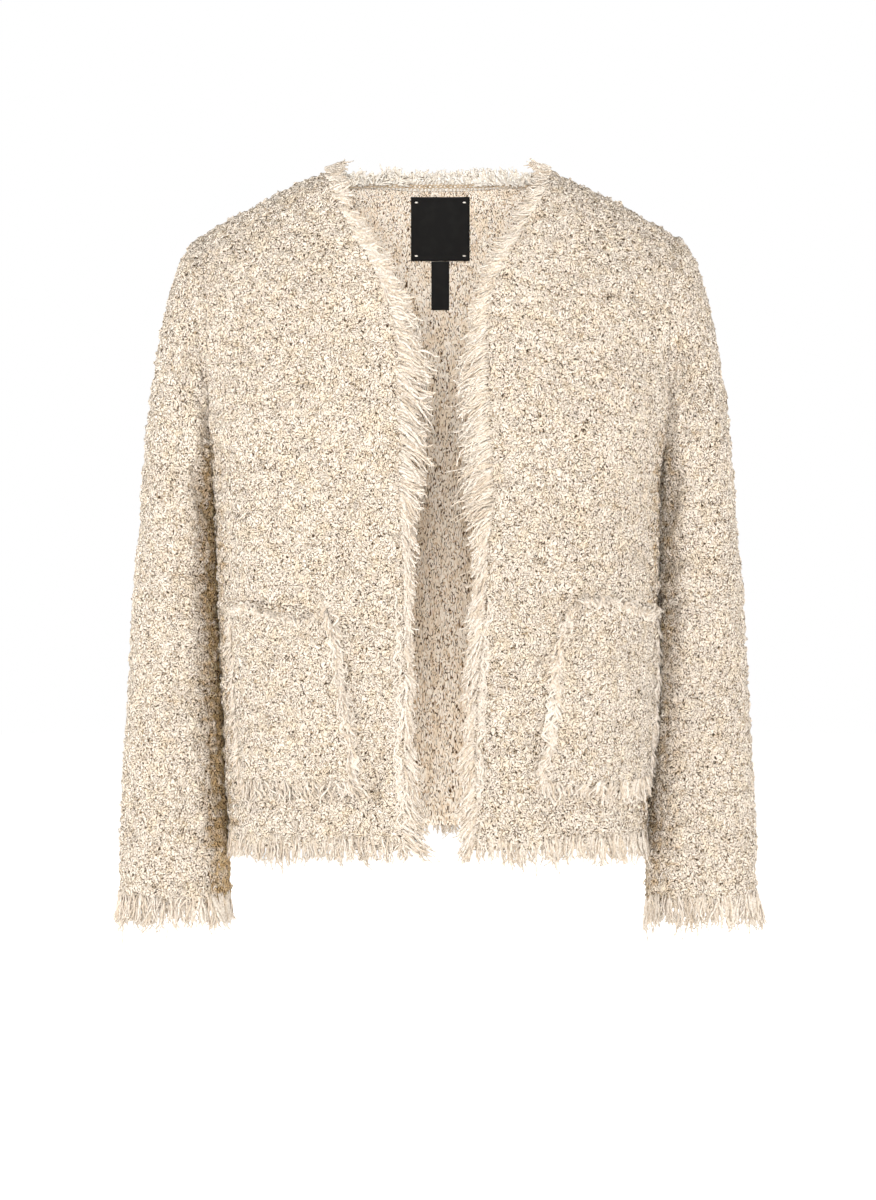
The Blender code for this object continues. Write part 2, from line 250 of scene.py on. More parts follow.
@dataclass(frozen=True)
class Crease:
    """A soft trough pressed into cloth, with a low ridge on each side of it.

    A negative depth makes it a ridge between two low troughs. RIDGE is the ridges' height
    as a share of its depth, and RIDGE_AWAY their distance from its line in half widths.
    """

    RIDGE = 0.32
    RIDGE_AWAY = 1.9
    UNEVEN_CELL = 34.0
    WIDTH_CELL = 51.0

    line: tuple[Pair, ...]
    depth: float
    half_width: float

    def height(self, chart: Array, unevenness: Unevenness) -> Array:
        """How far the crease moves the cloth out.

        Args:
            chart: Each point's place in the plane that the line is drawn in.
            unevenness: Makes the crease deeper in some places than in others.

        Returns:
            The distance, negative in the trough.
        """
        line = np.array(self.line)
        starts = lengths_along(line)
        nearest = np.full(chart.shape[:-1], 1e9)
        along = np.zeros(chart.shape[:-1])
        for start, first, second in zip(starts, line, line[1:]):
            way = second - first
            share = np.clip((chart - first) @ way / (way @ way), 0, 1)
            away = np.linalg.norm(chart - first - share[..., None] * way, axis=-1)
            closer = away < nearest
            nearest = np.where(closer, away, nearest)
            along = np.where(closer, start + share * np.linalg.norm(way), along)
        place = np.stack([chart[..., 0], chart[..., 1], along], axis=-1)
        share = along / starts[-1]
        fade = np.clip(np.minimum(share, 1 - share) * 4 + 0.12, 0, 1)
        uneven = 1 + 0.4 * unevenness.swell(place, self.UNEVEN_CELL)
        width = self.half_width * (1 + 0.25 * unevenness.swell(place, self.WIDTH_CELL))
        shape = -bell(nearest / width, 0.0, 1.0) + self.RIDGE * bell(
            nearest / width, self.RIDGE_AWAY, 1.0)
        return self.depth * fade * uneven * shape


# ---- the worn form


@dataclass(frozen=True)
class BodyForm:
    """The worn body, level by level, as the jacket's solids have it."""

    names: tuple[str, ...] = ("middle", "side", "width", "front", "back", "square",
                              "edge_right", "fringe_right", "edge_left", "fringe_left")
    rows: tuple[tuple[float, ...], ...] = (
        (20, -57, 196, 0, 0, 3.0, 86, 9, 86, 9),
        (12, -63.3, 195.4, 27, 24, 3.0, 86, 10, 86, 10),
        (-1, -81.2, 194, 49, 45, 3.0, 83, 12, 83, 12),
        (-47, -107.9, 192, 74, 69, 3.0, 67, 16, 66, 16),
        (-97, -139.5, 190.3, 95, 87, 3.0, 42, 20, 42, 17),
        (-142, -171.1, 188.8, 107, 98, 2.9, 28, 22, 33, 15),
        (-181, -197.8, 187.5, 116, 102, 2.8, 25, 23, 33, 19),
        (-205, -215.7, 186.5, 119.5, 103.5, 2.7, 25, 22, 34, 21),
        (-217, -222, 186, 121, 104, 2.65, 25, 22, 35, 22),
        (-240, -240, 185.3, 123, 105, 2.6, 24, 22, 36, 22),
        (-285, -285, 184, 124, 103, 2.6, 24, 14, 37, 18),
        (-328, -328, 182.5, 122.5, 101.5, 2.6, 24, 9, 35, 11),
        (-371, -371, 181, 121, 103, 2.6, 23, 7, 33, 12),
        (-420, -420, 179.5, 121, 107, 2.55, 23, 7, 28, 12),
        (-470, -470, 177.5, 120.5, 110, 2.5, 23, 7, 25, 10),
        (-513, -513, 175.3, 119, 110, 2.5, 22, 10, 25, 12),
        (-555, -555, 172.5, 118, 109, 2.5, 22, 16, 26, 13),
    )
    neck_half_width: float = 86.0
    shoulder_fall: float = 1.6
    armhole_front: float = 57.0
    armhole_back: float = 60.0
    underarm_level: float = 8.0
    back_neck_level: float = 2.0
    hem_level: float = 16.0
    seam_half_gap: float = 0.15
    samples: int = 160

    def at(self, level: Array | float) -> dict[str, Array]:
        """Every measure of the form at the given levels."""
        table = np.array(self.rows, float)
        above = table[1] * np.where([name in ("front", "back") for name in self.names], -1, 1)
        values = through_rows(above, table, np.asarray(level, float))
        return dict(zip(self.names, np.moveaxis(values, -1, 0)))

    def armhole_reach(self, level: Array, face: Face) -> Array:
        """How far the armhole lies from the seam plane: nothing from the underarm down."""
        widest = self.armhole_back if face is Face.BACK else self.armhole_front
        reach = widest * np.sin(np.pi * level / self.underarm_level)
        return np.where(level < self.underarm_level, reach, 0.0)

    def point(self, level: Array, x: Array, face: Face) -> Array:
        """Points of the outer surface.

        Args:
            level: Levels from the shoulder seam, 0, to the hem.
            x: Distances from the middle, of a shape that fits the levels'.
            face: In front of the seam plane or behind it.

        Returns:
            The points, with a last axis of 3.
        """
        level, x = np.broadcast_arrays(np.asarray(level, float), np.asarray(x, float))
        row = self.at(level)
        depth = np.maximum(row["back" if face is Face.BACK else "front"], 1e-6)
        square = row["square"]
        edge = np.minimum(self.armhole_reach(level, face) / depth, 0.999)
        half_width = row["width"] / (1 - edge ** square) ** (1 / square)
        across = np.minimum(np.abs(x) / half_width, 1.0)
        reach = np.maximum(depth * (1 - across ** square) ** (1 / square),
                           self.seam_half_gap)
        fall = (np.abs(x) / row["width"]) ** self.shoulder_fall
        z = row["middle"] + (row["side"] - row["middle"]) * fall
        return np.stack([x, face.value * reach, z], axis=-1)

    def back_neck_x(self, level: Array) -> Array:
        """Half width of the back neckline: a quarter ellipse from shoulder to centre."""
        part = np.minimum(level / self.back_neck_level, 1.0)
        return self.neck_half_width * np.sqrt(1 - part ** 2)

    def levels(self, start: float, end: float, curves: Sequence[tuple[float, Callable]],
               step: float) -> Array:
        """Levels whose rows lie about evenly down a panel.

        Args:
            start: First level.
            end: Last level.
            curves: Pairs of a pace and a function from levels to points. Along each one the
                rows lie no further apart than its pace times the step.
            step: The greatest distance between rows.

        Returns:
            An odd number of levels.
        """
        dense = np.linspace(start, end, 2001)
        steps = [np.linalg.norm(np.diff(curve(dense), axis=0), axis=1) / pace / step
                 for pace, curve in curves]
        total = np.concatenate([[0.0], np.cumsum(np.max(steps, axis=0))])
        count = 2 * math.ceil(total[-1] / 2)
        return np.interp(np.linspace(0, total[-1], count + 1), total, dense)

    def panel(self, levels: Array, inner_x: Callable, sign: int, face: Face,
              columns: int) -> "Patch":
        """A panel's grid of points, from its inner edge out to the armhole or side seam.

        Args:
            levels: The rows' levels.
            inner_x: Function giving the distance of the inner edge from the middle.
            sign: 1 on the wearer's left, -1 on the right.
            face: Front or back.
            columns: Number of columns, odd.

        Returns:
            The panel, its columns evenly spaced along each row.
        """
        part = np.sin(0.5 * np.pi * np.linspace(0, 1, self.samples + 1))
        inner = inner_x(levels)[:, None]
        outer = self.at(levels)["width"][:, None]
        x = sign * (inner + (outer - inner) * part)
        dense = self.point(levels[:, None], x, face)
        shares = np.linspace(0, 1, columns)
        points = np.stack([evenly(row, shares) for row in dense])
        normals = turned_out(grid_normals(points, closed=False), points)
        return Patch(points, normals, flat_cut(points, sign),
                     *np.broadcast_arrays(levels[:, None], shares))


@dataclass(frozen=True)
class SleeveForm:
    """The worn sleeve below its armhole, ring by ring.

    Each ring: outer x and z, inner x and z, middle y, half depth.
    """

    rings: tuple[tuple[float, ...], ...] = (
        (206, -64, 187, -225.5, 1.5, 58.0),
        (217.5, -84, 187.8, -230, 2.8, 59.8),
        (228, -121, 188.2, -234, 4.3, 61.8),
        (236, -165, 188.2, -238, 6.0, 63.0),
        (242.5, -205, 188.2, -244, 7.5, 63.0),
        (247, -250, 187.7, -262, 9.0, 62.0),
        (250.5, -300, 186.8, -302, 9.5, 59.5),
        (255.5, -355, 185.2, -355, 9.0, 56.0),
        (259, -420, 183.3, -420, 5.0, 51.5),
        (262.5, -490, 180.3, -490, -0.5, 47.5),
        (265.3, -555, 177.3, -555, -6.0, 43.5),
        (266, -617, 176.5, -617, -10.0, 40.8),
    )
    square: float = 2.2
    sleeve_gap: float = -0.9
    samples: int = 256

    def armhole(self, form: BodyForm, sign: int) -> Array:
        """The armhole's edge as one closed loop: over the front, then up behind."""
        turn = np.arange(self.samples) / self.samples
        level = 2 * form.underarm_level * np.minimum(turn, 1 - turn)
        row = form.at(level)
        ahead = -form.armhole_reach(level, Face.FRONT)
        behind = form.armhole_reach(level, Face.BACK)
        y = np.where(turn <= 0.5, ahead, behind)
        return np.stack([sign * (row["width"] + self.sleeve_gap), y, row["side"]], axis=-1)

    def ring(self, ring: Sequence[float], sign: int) -> Array:
        """A ring as a closed loop, starting on the outer side and turning by the front."""
        outer_x, outer_z, inner_x, inner_z, middle_y, depth = ring
        outer = np.array((sign * outer_x, middle_y, outer_z))
        inner = np.array((sign * inner_x, middle_y, inner_z))
        turn = 2 * np.pi * np.arange(self.samples) / self.samples
        power = 2 / self.square
        out, front = (np.sign(way) * np.abs(way) ** power for way in (np.cos(turn), np.sin(turn)))
        reach = (outer - inner) / 2 * out[:, None]
        ahead = np.array((0.0, -depth, 0.0)) * front[:, None]
        return (outer + inner) / 2 + reach + ahead

    def patch(self, form: BodyForm, sign: int, rows: int, columns: int) -> "Patch":
        """The whole sleeve as a closed grid, from the armhole down to the cuff.

        Args:
            form: The body that the armhole is cut in.
            sign: 1 for the wearer's left arm, -1 for the right.
            rows: Number of rings, odd.
            columns: Number of points around, even.

        Returns:
            The sleeve's grid.
        """
        loops = np.stack([self.armhole(form, sign)]
                         + [self.ring(ring, sign) for ring in self.rings])
        dense = through_rows(2 * loops[0] - loops[1], loops,
                             np.linspace(0, len(loops) - 1, 40 * len(loops)))
        quarter = self.samples // 4
        line = (dense[:, quarter] + dense[:, 3 * quarter]) / 2
        down = lengths_along(line)
        even = np.interp(np.linspace(0, down[-1], rows), down, np.arange(len(dense)))
        spread = read_grid(dense, *np.broadcast_arrays(even[:, None], np.arange(self.samples)),
                           closed=True)
        shares = np.arange(columns) / columns
        points = np.stack([evenly(ring_closed(ring), shares) for ring in spread])
        normals = grid_normals(points, closed=True)
        away = points - points.mean(axis=1, keepdims=True)
        normals *= np.sign(np.sum(normals * away))
        girth = np.array([lengths_along(ring_closed(ring))[-1] for ring in points])
        part = np.linspace(0, 1, rows)[:, None]
        cut = np.broadcast_arrays(shares * girth[:, None], -down[-1] * part)
        return Patch(points, normals, np.stack(cut, axis=-1),
                     *np.broadcast_arrays(part, shares), closed=True)


@dataclass
class Patch:
    """A grid of cloth on the form, and how far the finished cloth stands off it.

    HOLLOW_SPAN is the height of lumps between a full hollow and none. The hollow value says
    how much painted shade the finish puts in the lumps' hollows, and above 1 painted fold shade.
    """

    HOLLOW_SPAN = 3.6

    points: Array
    normals: Array
    cut: Array
    level: Array
    share: Array
    closed: bool = False
    outer: Array = field(init=False)
    inner: Array = field(init=False)
    # Hollow and deep set the painted shade of the lumps' hollows and of folds.
    hollow: Array = field(init=False)
    deep: Array = field(init=False)

    def area(self) -> float:
        """Area of the smooth form that the patch covers, in square metres."""
        points = self.points
        if self.closed:
            points = np.concatenate([points, points[:, :1]], axis=1)
        down = points[1:, :-1] - points[:-1, :-1]
        across = points[:-1, 1:] - points[:-1, :-1]
        return float(np.linalg.norm(np.cross(down, across), axis=-1).sum()) * MM * MM

    def dress(self, folds: Array, lumps: Array, wall: float,
              inside: Array, deep: Array | float = 0.0) -> None:
        """Sets the outer and inner faces of the cloth.

        Args:
            folds: How far the creases move both faces.
            lumps: How far the yarn's lumps move the outer face.
            wall: Thickness of the cloth.
            inside: How far its unevenness moves the inner face.
            deep: How much warm painted shade each point gets in the deep of a fold, 0 to 1.
        """
        self.outer = self.points + self.normals * (folds + lumps)[..., None]
        self.inner = self.points + self.normals * (folds - wall + inside)[..., None]
        # Painted shade that the finish reads: the lumps' hollows, plus the fold's painted shade
        # above 1.
        self.deep = np.broadcast_to(deep, lumps.shape)
        self.hollow = np.clip(0.5 - lumps / self.HOLLOW_SPAN, 0, 1) + self.deep


# ---- meshes


class MeshParts:
    """Gathers vertices and faces, and makes them one mesh object."""

    def __init__(self) -> None:
        """Starts empty."""
        self.points: list[Array] = []
        self.cut: list[Array] = []
        self.values: list[Array] = []
        self.faces: list[Array] = []
        self.finishes: list[int] = []
        self.count = 0

    def vertices(self, points: Array, cut: Array, value: Array) -> Array:
        """Adds vertices.

        Args:
            points: Places in millimetres, with a last axis of 3.
            cut: Places on the flat cut, with a last axis of 2.
            value: One number for each, kept as the mesh's own attribute.

        Returns:
            The vertices' numbers, in the shape that the points have.
        """
        shape = points.shape[:-1]
        ids = self.count + np.arange(int(np.prod(shape))).reshape(shape)
        self.points.append(points.reshape(-1, 3))
        self.cut.append(np.broadcast_to(cut, (*shape, 2)).reshape(-1, 2))
        self.values.append(np.broadcast_to(value, shape).reshape(-1))
        self.count += ids.size
        return ids

    def polygons(self, ids: Array, finish: int = 0) -> None:
        """Adds faces of as many corners as the last axis has."""
        flat = ids.reshape(-1, ids.shape[-1])
        self.faces.append(flat)
        self.finishes.extend([finish] * len(flat))

    def grid(self, ids: Array, closed: bool, inner: bool = False) -> None:
        """Adds a grid's four-cornered faces; an inner face turns over for its own finish."""
        if closed:
            ids = np.concatenate([ids, ids[:, :1]], axis=1)
        quads = np.stack([ids[:-1, :-1], ids[1:, :-1], ids[1:, 1:], ids[:-1, 1:]], axis=-1)
        self.polygons(quads[..., ::-1] if inner else quads, int(inner))

    def rim(self, fine: Array, coarse: Array, flip: bool = False) -> None:
        """Closes a cloth's edge between its fine outer face and its coarse inner face."""
        corners = np.stack([fine[0:-1:2], fine[1::2], fine[2::2], coarse[1:], coarse[:-1]],
                           axis=-1)
        self.polygons(corners[..., ::-1] if flip else corners)

    def make(self, name: str, finishes: Sequence[Material], value_name: str,
             period: float = 0.0, weld: bool = False) -> Piece:
        """Makes the object, at the origin, with its place in its mesh.

        Args:
            name: The piece's name.
            finishes: Its materials, in the order that faces name them.
            value_name: Name of the attribute that keeps the vertices' numbers.
            period: Length around a closed grid, after which the cut starts again.
            weld: Whether points that meet are made one.

        Returns:
            The new object.
        """
        points = np.concatenate(self.points) * MM
        cut, values = np.concatenate(self.cut), np.concatenate(self.values)
        loops = np.concatenate([face.reshape(-1) for face in self.faces])
        if weld:
            _, first, again = np.unique(np.round(points / (0.01 * MM)).astype(np.int64),
                                        axis=0, return_index=True, return_inverse=True)
            points, cut, values = points[first], cut[first], values[first]
            loops = again.reshape(-1)[loops]
        sizes = np.concatenate([np.full(len(face), face.shape[1]) for face in self.faces])
        mesh = bpy.data.meshes.new(name)
        mesh.vertices.add(len(points))
        mesh.vertices.foreach_set("co", points.astype(np.float32).ravel())
        mesh.loops.add(len(loops))
        mesh.loops.foreach_set("vertex_index", loops.astype(np.int32))
        starts = np.concatenate([[0], np.cumsum(sizes)[:-1]])
        mesh.polygons.add(len(sizes))
        mesh.polygons.foreach_set("loop_start", starts.astype(np.int32))
        mesh.polygons.foreach_set("material_index", np.array(self.finishes, np.int32))
        mesh.update(calc_edges=True)
        spots = cut[loops]
        if period:
            highest = np.maximum.reduceat(spots[:, 0], starts)
            owner = np.repeat(np.arange(len(sizes)), sizes)
            far = highest[owner] - spots[:, 0] > period / 2
            spots = spots + np.stack([np.where(far, period, 0.0), np.zeros(len(far))], -1)
        layer = mesh.uv_layers.new(name=CUT_MAP)
        layer.data.foreach_set("uv", spots.astype(np.float32).ravel())
        attribute = mesh.attributes.new(value_name, "FLOAT", "POINT")
        attribute.data.foreach_set("value", values.astype(np.float32))
        for finish in finishes:
            mesh.materials.append(finish)
        mesh.validate()
        mesh.shade_smooth()
        return linked(name, mesh)

    def make_yarn(self, name: str, finish: Material) -> Piece:
        """Makes the object of the yarn gathered here."""
        return self.make(name, (finish,), "tone", 1.0)


def linked(name: str, data: bpy.types.ID) -> Piece:
    """A new object of the data in the scene."""
    made = bpy.data.objects.new(name, data)
    bpy.context.scene.collection.objects.link(made)
    return made


def face_outwards(piece: Piece) -> None:
    """Turns every face of a closed piece outwards."""
    shape = bmesh.new()
    shape.from_mesh(piece.data)
    bmesh.ops.recalc_face_normals(shape, faces=shape.faces[:])
    shape.to_mesh(piece.data)
    shape.free()


def around(ids: Array) -> Array:
    """The numbers along a grid's border, once round and back to the start."""
    top, right, bottom, left = ids[0], ids[1:, -1], ids[-1, -2::-1], ids[-2::-1, 0]
    return np.concatenate([top, right, bottom, left])


def cloth_shell(name: str, patches: Sequence[Patch], finishes: Sequence[Material],
                meet_row: int = 0) -> Piece:
    """A closed thin body of cloth: a fine outer face, a coarser inner face and its rim.

    Args:
        name: The piece's name.
        patches: One grid, or two halves that meet in their first column.
        finishes: Outer and inner materials.
        meet_row: For two halves, the row from which on they meet.

    Returns:
        The piece.
    """
    parts = MeshParts()
    for patch in patches:
        fine = parts.vertices(patch.outer, patch.cut, patch.hollow)
        coarse = parts.vertices(patch.inner[::2, ::2], patch.cut[::2, ::2], 0.5)
        parts.grid(fine, patch.closed)
        parts.grid(coarse, patch.closed, inner=True)
        if patch.closed:
            for row in (0, -1):
                parts.rim(ring_closed(fine[row]), ring_closed(coarse[row]), row == 0)
        elif meet_row:
            outline = around(fine)[: -(len(fine) - 1)], around(coarse)[: -(len(coarse) - 1)]
            parts.rim(*outline)
            parts.rim(fine[: meet_row + 1, 0], coarse[: meet_row // 2 + 1, 0])
        else:
            parts.rim(around(fine), around(coarse))
    period = float(patches[0].cut[..., 0].max()) if patches[0].closed else 0.0
    piece = parts.make(name, finishes, "hollow", period, weld=True)
    face_outwards(piece)
    return piece


def yarn_tubes(parts: MeshParts, lines: Array, radii: Array, reference: Array,
               tone: Array, sides: int = 3) -> None:
    """Adds one thin tube along each line, closed at both ends.

    Args:
        parts: The mesh that takes them.
        lines: Centre lines, (tubes, points, 3).
        radii: Radius at each point, (tubes, points).
        reference: A direction across each line, (tubes, 3) or (tubes, points, 3).
        tone: One number for each tube, 0 to 1.
        sides: Sides of a tube.
    """
    if reference.ndim == 2:
        reference = np.repeat(reference[:, None], lines.shape[1], axis=1)
    way = unit(np.gradient(lines, axis=1))
    first = unit(reference - way * np.sum(reference * way, axis=-1, keepdims=True))
    second = np.cross(way, first)
    turn = 2 * np.pi * np.arange(sides) / sides
    ring = (first[:, :, None] * np.cos(turn)[:, None]
            + second[:, :, None] * np.sin(turn)[:, None])
    points = lines[:, :, None] + ring * radii[:, :, None, None]
    steps = np.linalg.norm(np.diff(lines, axis=1), axis=-1)
    along = np.concatenate([np.zeros((len(lines), 1)), np.cumsum(steps, axis=1)], axis=1)
    cut = np.stack(np.broadcast_arrays(np.arange(sides) / sides, along[:, :, None]), axis=-1)
    ids = parts.vertices(points, cut, tone[:, None, None])
    after = np.roll(ids, -1, axis=2)
    walls = np.stack([ids[:, :-1], after[:, :-1], after[:, 1:], ids[:, 1:]], axis=-1)
    parts.polygons(walls)
    parts.polygons(ids[:, 0, ::-1])
    parts.polygons(ids[:, -1])


# ---- finishes


class NodeTree:
    """Adds nodes to a material's or the world's tree and links them."""

    def __init__(self, owner: Material | bpy.types.World) -> None:
        """Empties the owner's tree."""
        owner.use_nodes = True
        self.tree = owner.node_tree
        self.tree.nodes.clear()

    def add(self, kind: str, inputs: dict | None = None, **settings: object) -> bpy.types.Node:
        """Adds one node.

        Args:
            kind: Its type, without ShaderNode.
            inputs: What each input takes: a value, or the socket that it is linked to.
            **settings: Its own settings.

        Returns:
            The node.
        """
        node = self.tree.nodes.new("ShaderNode" + kind)
        for name, value in settings.items():
            setattr(node, name, value)
        for name, value in (inputs or {}).items():
            if isinstance(value, Socket):
                self.tree.links.new(value, node.inputs[name])
            else:
                node.inputs[name].default_value = value
        return node

    def place(self) -> Socket:
        """Each point's place in the piece's own space."""
        return self.add("TexCoord").outputs["Object"]

    def cut(self) -> tuple[Socket, Socket]:
        """Each point's place on the flat cut: across it, and along it."""
        spot = self.add("SeparateXYZ", {0: self.add("UVMap", uv_map=CUT_MAP).outputs[0]})
        return spot.outputs["X"], spot.outputs["Y"]

    def kept(self, name: str) -> Socket:
        """The number that the mesh keeps for each point under a name."""
        return self.add("Attribute", attribute_name=name).outputs["Fac"]

    def math(self, operation: str, *values: object, clamp: bool = False) -> Socket:
        """Output of a Math node on the given values and sockets."""
        node = self.add("Math", dict(enumerate(values)), operation=operation, use_clamp=clamp)
        return node.outputs[0]

    def wave(self, value: Socket, rate: float) -> Socket:
        """Sine of a value times its rate."""
        return self.math("SINE", self.math("MULTIPLY", value, rate))

    def noise(self, place: Socket, scale: float, detail: float = 0.0, output: str = "Fac",
              ) -> Socket:
        """Output of a Noise Texture in space."""
        inputs = {"Vector": place, "Scale": scale, "Detail": detail}
        return self.add("TexNoise", inputs).outputs[output]

    def remap(self, value: Socket, low: float, high: float, to_low: float = 0.0,
              to_high: float = 1.0, soft: bool = True) -> Socket:
        """Output of a Map Range node."""
        node = self.add("MapRange", {"Value": value, "From Min": low, "From Max": high,
                                     "To Min": to_low, "To Max": to_high},
                        interpolation_type="SMOOTHSTEP" if soft else "LINEAR")
        return node.outputs["Result"]

    def mix(self, share: Socket, first: Colour, second: Colour, blend: str = "MIX") -> Socket:
        """Output of a colour Mix node."""
        first, second = ((*colour, 1) if isinstance(colour, tuple) else colour
                         for colour in (first, second))
        node = self.add("Mix", {0: share, 6: first, 7: second}, data_type="RGBA",
                        blend_type=blend)
        return node.outputs[2]

    def valleys(self, place: Socket, scale: float, thinness: float) -> Socket:
        """Winding valleys between strands: 1 along a valley's middle, 0 on a strand."""
        away = self.math("ABSOLUTE", self.math("SUBTRACT", self.noise(place, scale), 0.5))
        near = self.math("SUBTRACT", 1.0, self.math("MULTIPLY", away, thinness), clamp=True)
        return self.remap(near, 0.0, 0.8)

    def bump(self, height: Socket, strength: float, depth: float) -> Socket:
        """Normal of a relief, its depth in millimetres."""
        inputs = {"Height": height, "Strength": strength, "Distance": depth * MM}
        return self.add("Bump", inputs).outputs[0]

    def finish(self, colour: Socket, roughness: Socket | float, gloss: float,
               **more: Socket | float | tuple) -> None:
        """Links a Principled shader to the output.

        Args:
            colour: Its base colour.
            roughness: Its roughness.
            gloss: Its specular level.
            **more: Its other inputs, with low lines for the spaces in their names.
        """
        inputs = {"Base_Color": colour, "Roughness": roughness, "Specular_IOR_Level": gloss}
        inputs = {name.replace("_", " "): value for name, value in (inputs | more).items()}
        shader = self.add("BsdfPrincipled", inputs)
        self.add("OutputMaterial", {"Surface": shader.outputs[0]})


@dataclass(frozen=True)
class Finish:
    """A named material. Each kind of finish paints it in its own way."""

    name: str

    def paint(self, nodes: NodeTree) -> None:
        """Adds the finish's nodes."""
        raise NotImplementedError

    def build(self) -> Material:
        """Makes the material."""
        material = bpy.data.materials.new(self.name)
        self.paint(NodeTree(material))
        return material


@dataclass(frozen=True)
class BoucleFinish(Finish):
    """Looped boucle yarn: winding pale strands, and painted shade between them: tan, and small
    dark gaps.

    The scales are in cells to a metre, and the relief and the wander in millimetres.
    """

    pale: Triple = (0.815, 0.735, 0.645)
    tawny: Triple = (0.80, 0.69, 0.545)
    # Between the strands: painted shade, tan in the valleys (its tone varied at random) and dark
    # in the gaps.
    middle: Triple = (0.385, 0.302, 0.215)
    warm: Triple = (0.47, 0.35, 0.20)
    gap: Triple = (0.062, 0.04, 0.024)
    # Multiplied in as painted shade: in the lumps' hollows, and warm in folds beside the sleeve.
    painted_hollow_shade_tint: Triple = (0.8, 0.68, 0.52)
    painted_fold_shade_tint: Triple = (0.90, 0.73, 0.46)
    strand: float = 450.0
    stretch: Triple = (1.08, 1.0, 0.94)
    shifts: tuple[Triple, Triple] = ((0.31, 0.17, 0.53), (0.71, 0.43, 0.11))
    wander: float = 3.0
    patch_scale: float = 80.0
    tint_scale: float = 210.0
    cloud_scale: float = 95.0
    gap_level: float = 0.555
    crossing: float = 0.38
    thinness: float = 9.0
    relief: float = 1.15

    def paint(self, nodes: NodeTree) -> None:
        """Adds the finish's nodes."""
        # The kept hollow value is painted shade: up to 1 in the lumps' hollows, above it in folds.
        hollow = nodes.kept("hollow")
        painted_fold_shade = nodes.remap(hollow, 0.85, 1.5, soft=False)
        hollow = nodes.math("MINIMUM", hollow, 1.0)
        place = nodes.add("Mapping", {"Vector": nodes.place(), "Scale": self.stretch}).outputs[0]
        drift = nodes.noise(place, 0.6 * self.strand, 1.0, "Color")
        bent = nodes.add("VectorMath", {0: drift, 1: (self.wander * MM,) * 3, 2: place},
                         operation="MULTIPLY_ADD").outputs[0]
        crossed, broken = (nodes.add("VectorMath", {0: bent, 1: shift}, operation="ADD").outputs[0]
                           for shift in self.shifts)
        faint = nodes.valleys(crossed, 1.3 * self.strand, self.thinness)
        valleys = nodes.math("MAXIMUM", nodes.valleys(bent, self.strand, self.thinness),
                             nodes.math("MULTIPLY", faint, self.crossing))
        strands = nodes.math("SUBTRACT", 1.0, valleys)
        open_here = nodes.noise(broken, 1.5 * self.strand)
        patchy = nodes.math("SUBTRACT", nodes.noise(place, self.patch_scale, 1.0), 0.5)
        # More dark gaps open in hollows and folds, as painted shade.
        sunk = nodes.math("SUBTRACT", hollow, 0.5)
        for value, weight in ((patchy, 0.04), (sunk, 0.15), (painted_fold_shade, 0.05)):
            open_here = nodes.math("MULTIPLY_ADD", value, weight, open_here)
        gap = nodes.math("MULTIPLY", nodes.remap(valleys, 0.15, 0.8),
                         nodes.remap(open_here, self.gap_level - 0.04, self.gap_level + 0.06))
        tint = nodes.remap(nodes.noise(place, self.tint_scale, 1.0), 0.5, 0.74, 0.0, 0.6)
        cloud = nodes.remap(nodes.noise(place, self.cloud_scale, 2.0), 0.44, 0.68, 0.0, 0.75)
        # Pale strands over tan valleys; the valleys are painted shade.
        colour = nodes.mix(strands, nodes.mix(tint, self.middle, self.warm),
                           nodes.mix(cloud, self.pale, self.tawny))
        # Painted shade in the hollows, then the painted dark gaps, then the painted warm shade of
        # folds.
        colour = nodes.mix(nodes.remap(hollow, 0.5, 1.0, 0.0, 0.25), colour, self.painted_hollow_shade_tint,
                           "MULTIPLY")
        colour = nodes.mix(gap, colour, self.gap)
        colour = nodes.mix(painted_fold_shade, colour, self.painted_fold_shade_tint, "MULTIPLY")
        height = nodes.math("MULTIPLY_ADD", gap, -0.8, strands)
        nodes.finish(colour, 0.95, 0.12, Diffuse_Roughness=0.9, Sheen_Weight=0.08,
                     Sheen_Roughness=0.55, Sheen_Tint=(1.0, 0.94, 0.86, 1.0),
                     Normal=nodes.bump(height, 1.0, self.relief))


@dataclass(frozen=True)
class YarnFinish(Finish):
    """A twisted yarn end or curl, each a little different in tone, with painted shade in its
    grooves.
    """

    pale: Triple = (0.815, 0.745, 0.662)
    warm: Triple = (0.71, 0.60, 0.475)
    # Painted fold shade for curls that lie in the crease beside the sleeve.
    deep: Triple = (0.57, 0.455, 0.27)
    speck: Triple = (0.38, 0.28, 0.18)
    speckled: float = 0.42
    speck_scale: float = 560.0
    plies: int = 2
    twist: float = 2.6

    def paint(self, nodes: NodeTree) -> None:
        """Adds the finish's nodes."""
        around_yarn, along = nodes.cut()
        tone = nodes.kept("tone")
        turned = nodes.math("ADD", around_yarn, nodes.math("DIVIDE", along, self.twist))
        groove = nodes.remap(nodes.wave(turned, 2 * math.pi * self.plies), -1.0, 0.2)
        colour = nodes.mix(nodes.remap(tone, 0.35, 1.0, 0.0, 0.8), self.pale, self.warm)
        # Tones above 1 mark curls in a fold: painted fold shade.
        colour = nodes.mix(nodes.remap(tone, 1.0, 2.0, soft=False), colour, self.deep)
        # Painted shade in the grooves between the plies.
        colour = nodes.mix(nodes.remap(groove, 0.0, 1.0, 0.28, 0.0), colour, self.warm,
                           "MULTIPLY")
        specks = nodes.remap(nodes.noise(nodes.place(), self.speck_scale), 0.53, 0.65, 0.0,
                             self.speckled)
        specks = nodes.math("MULTIPLY", specks, nodes.remap(tone, -0.3, 0.0))
        colour = nodes.mix(specks, colour, self.speck)
        nodes.finish(colour, 0.9, 0.15, Diffuse_Roughness=0.5, Sheen_Weight=0.15,
                     Sheen_Roughness=0.5, Sheen_Tint=(1.0, 0.95, 0.88, 1.0),
                     Normal=nodes.bump(groove, 0.7, 0.3))


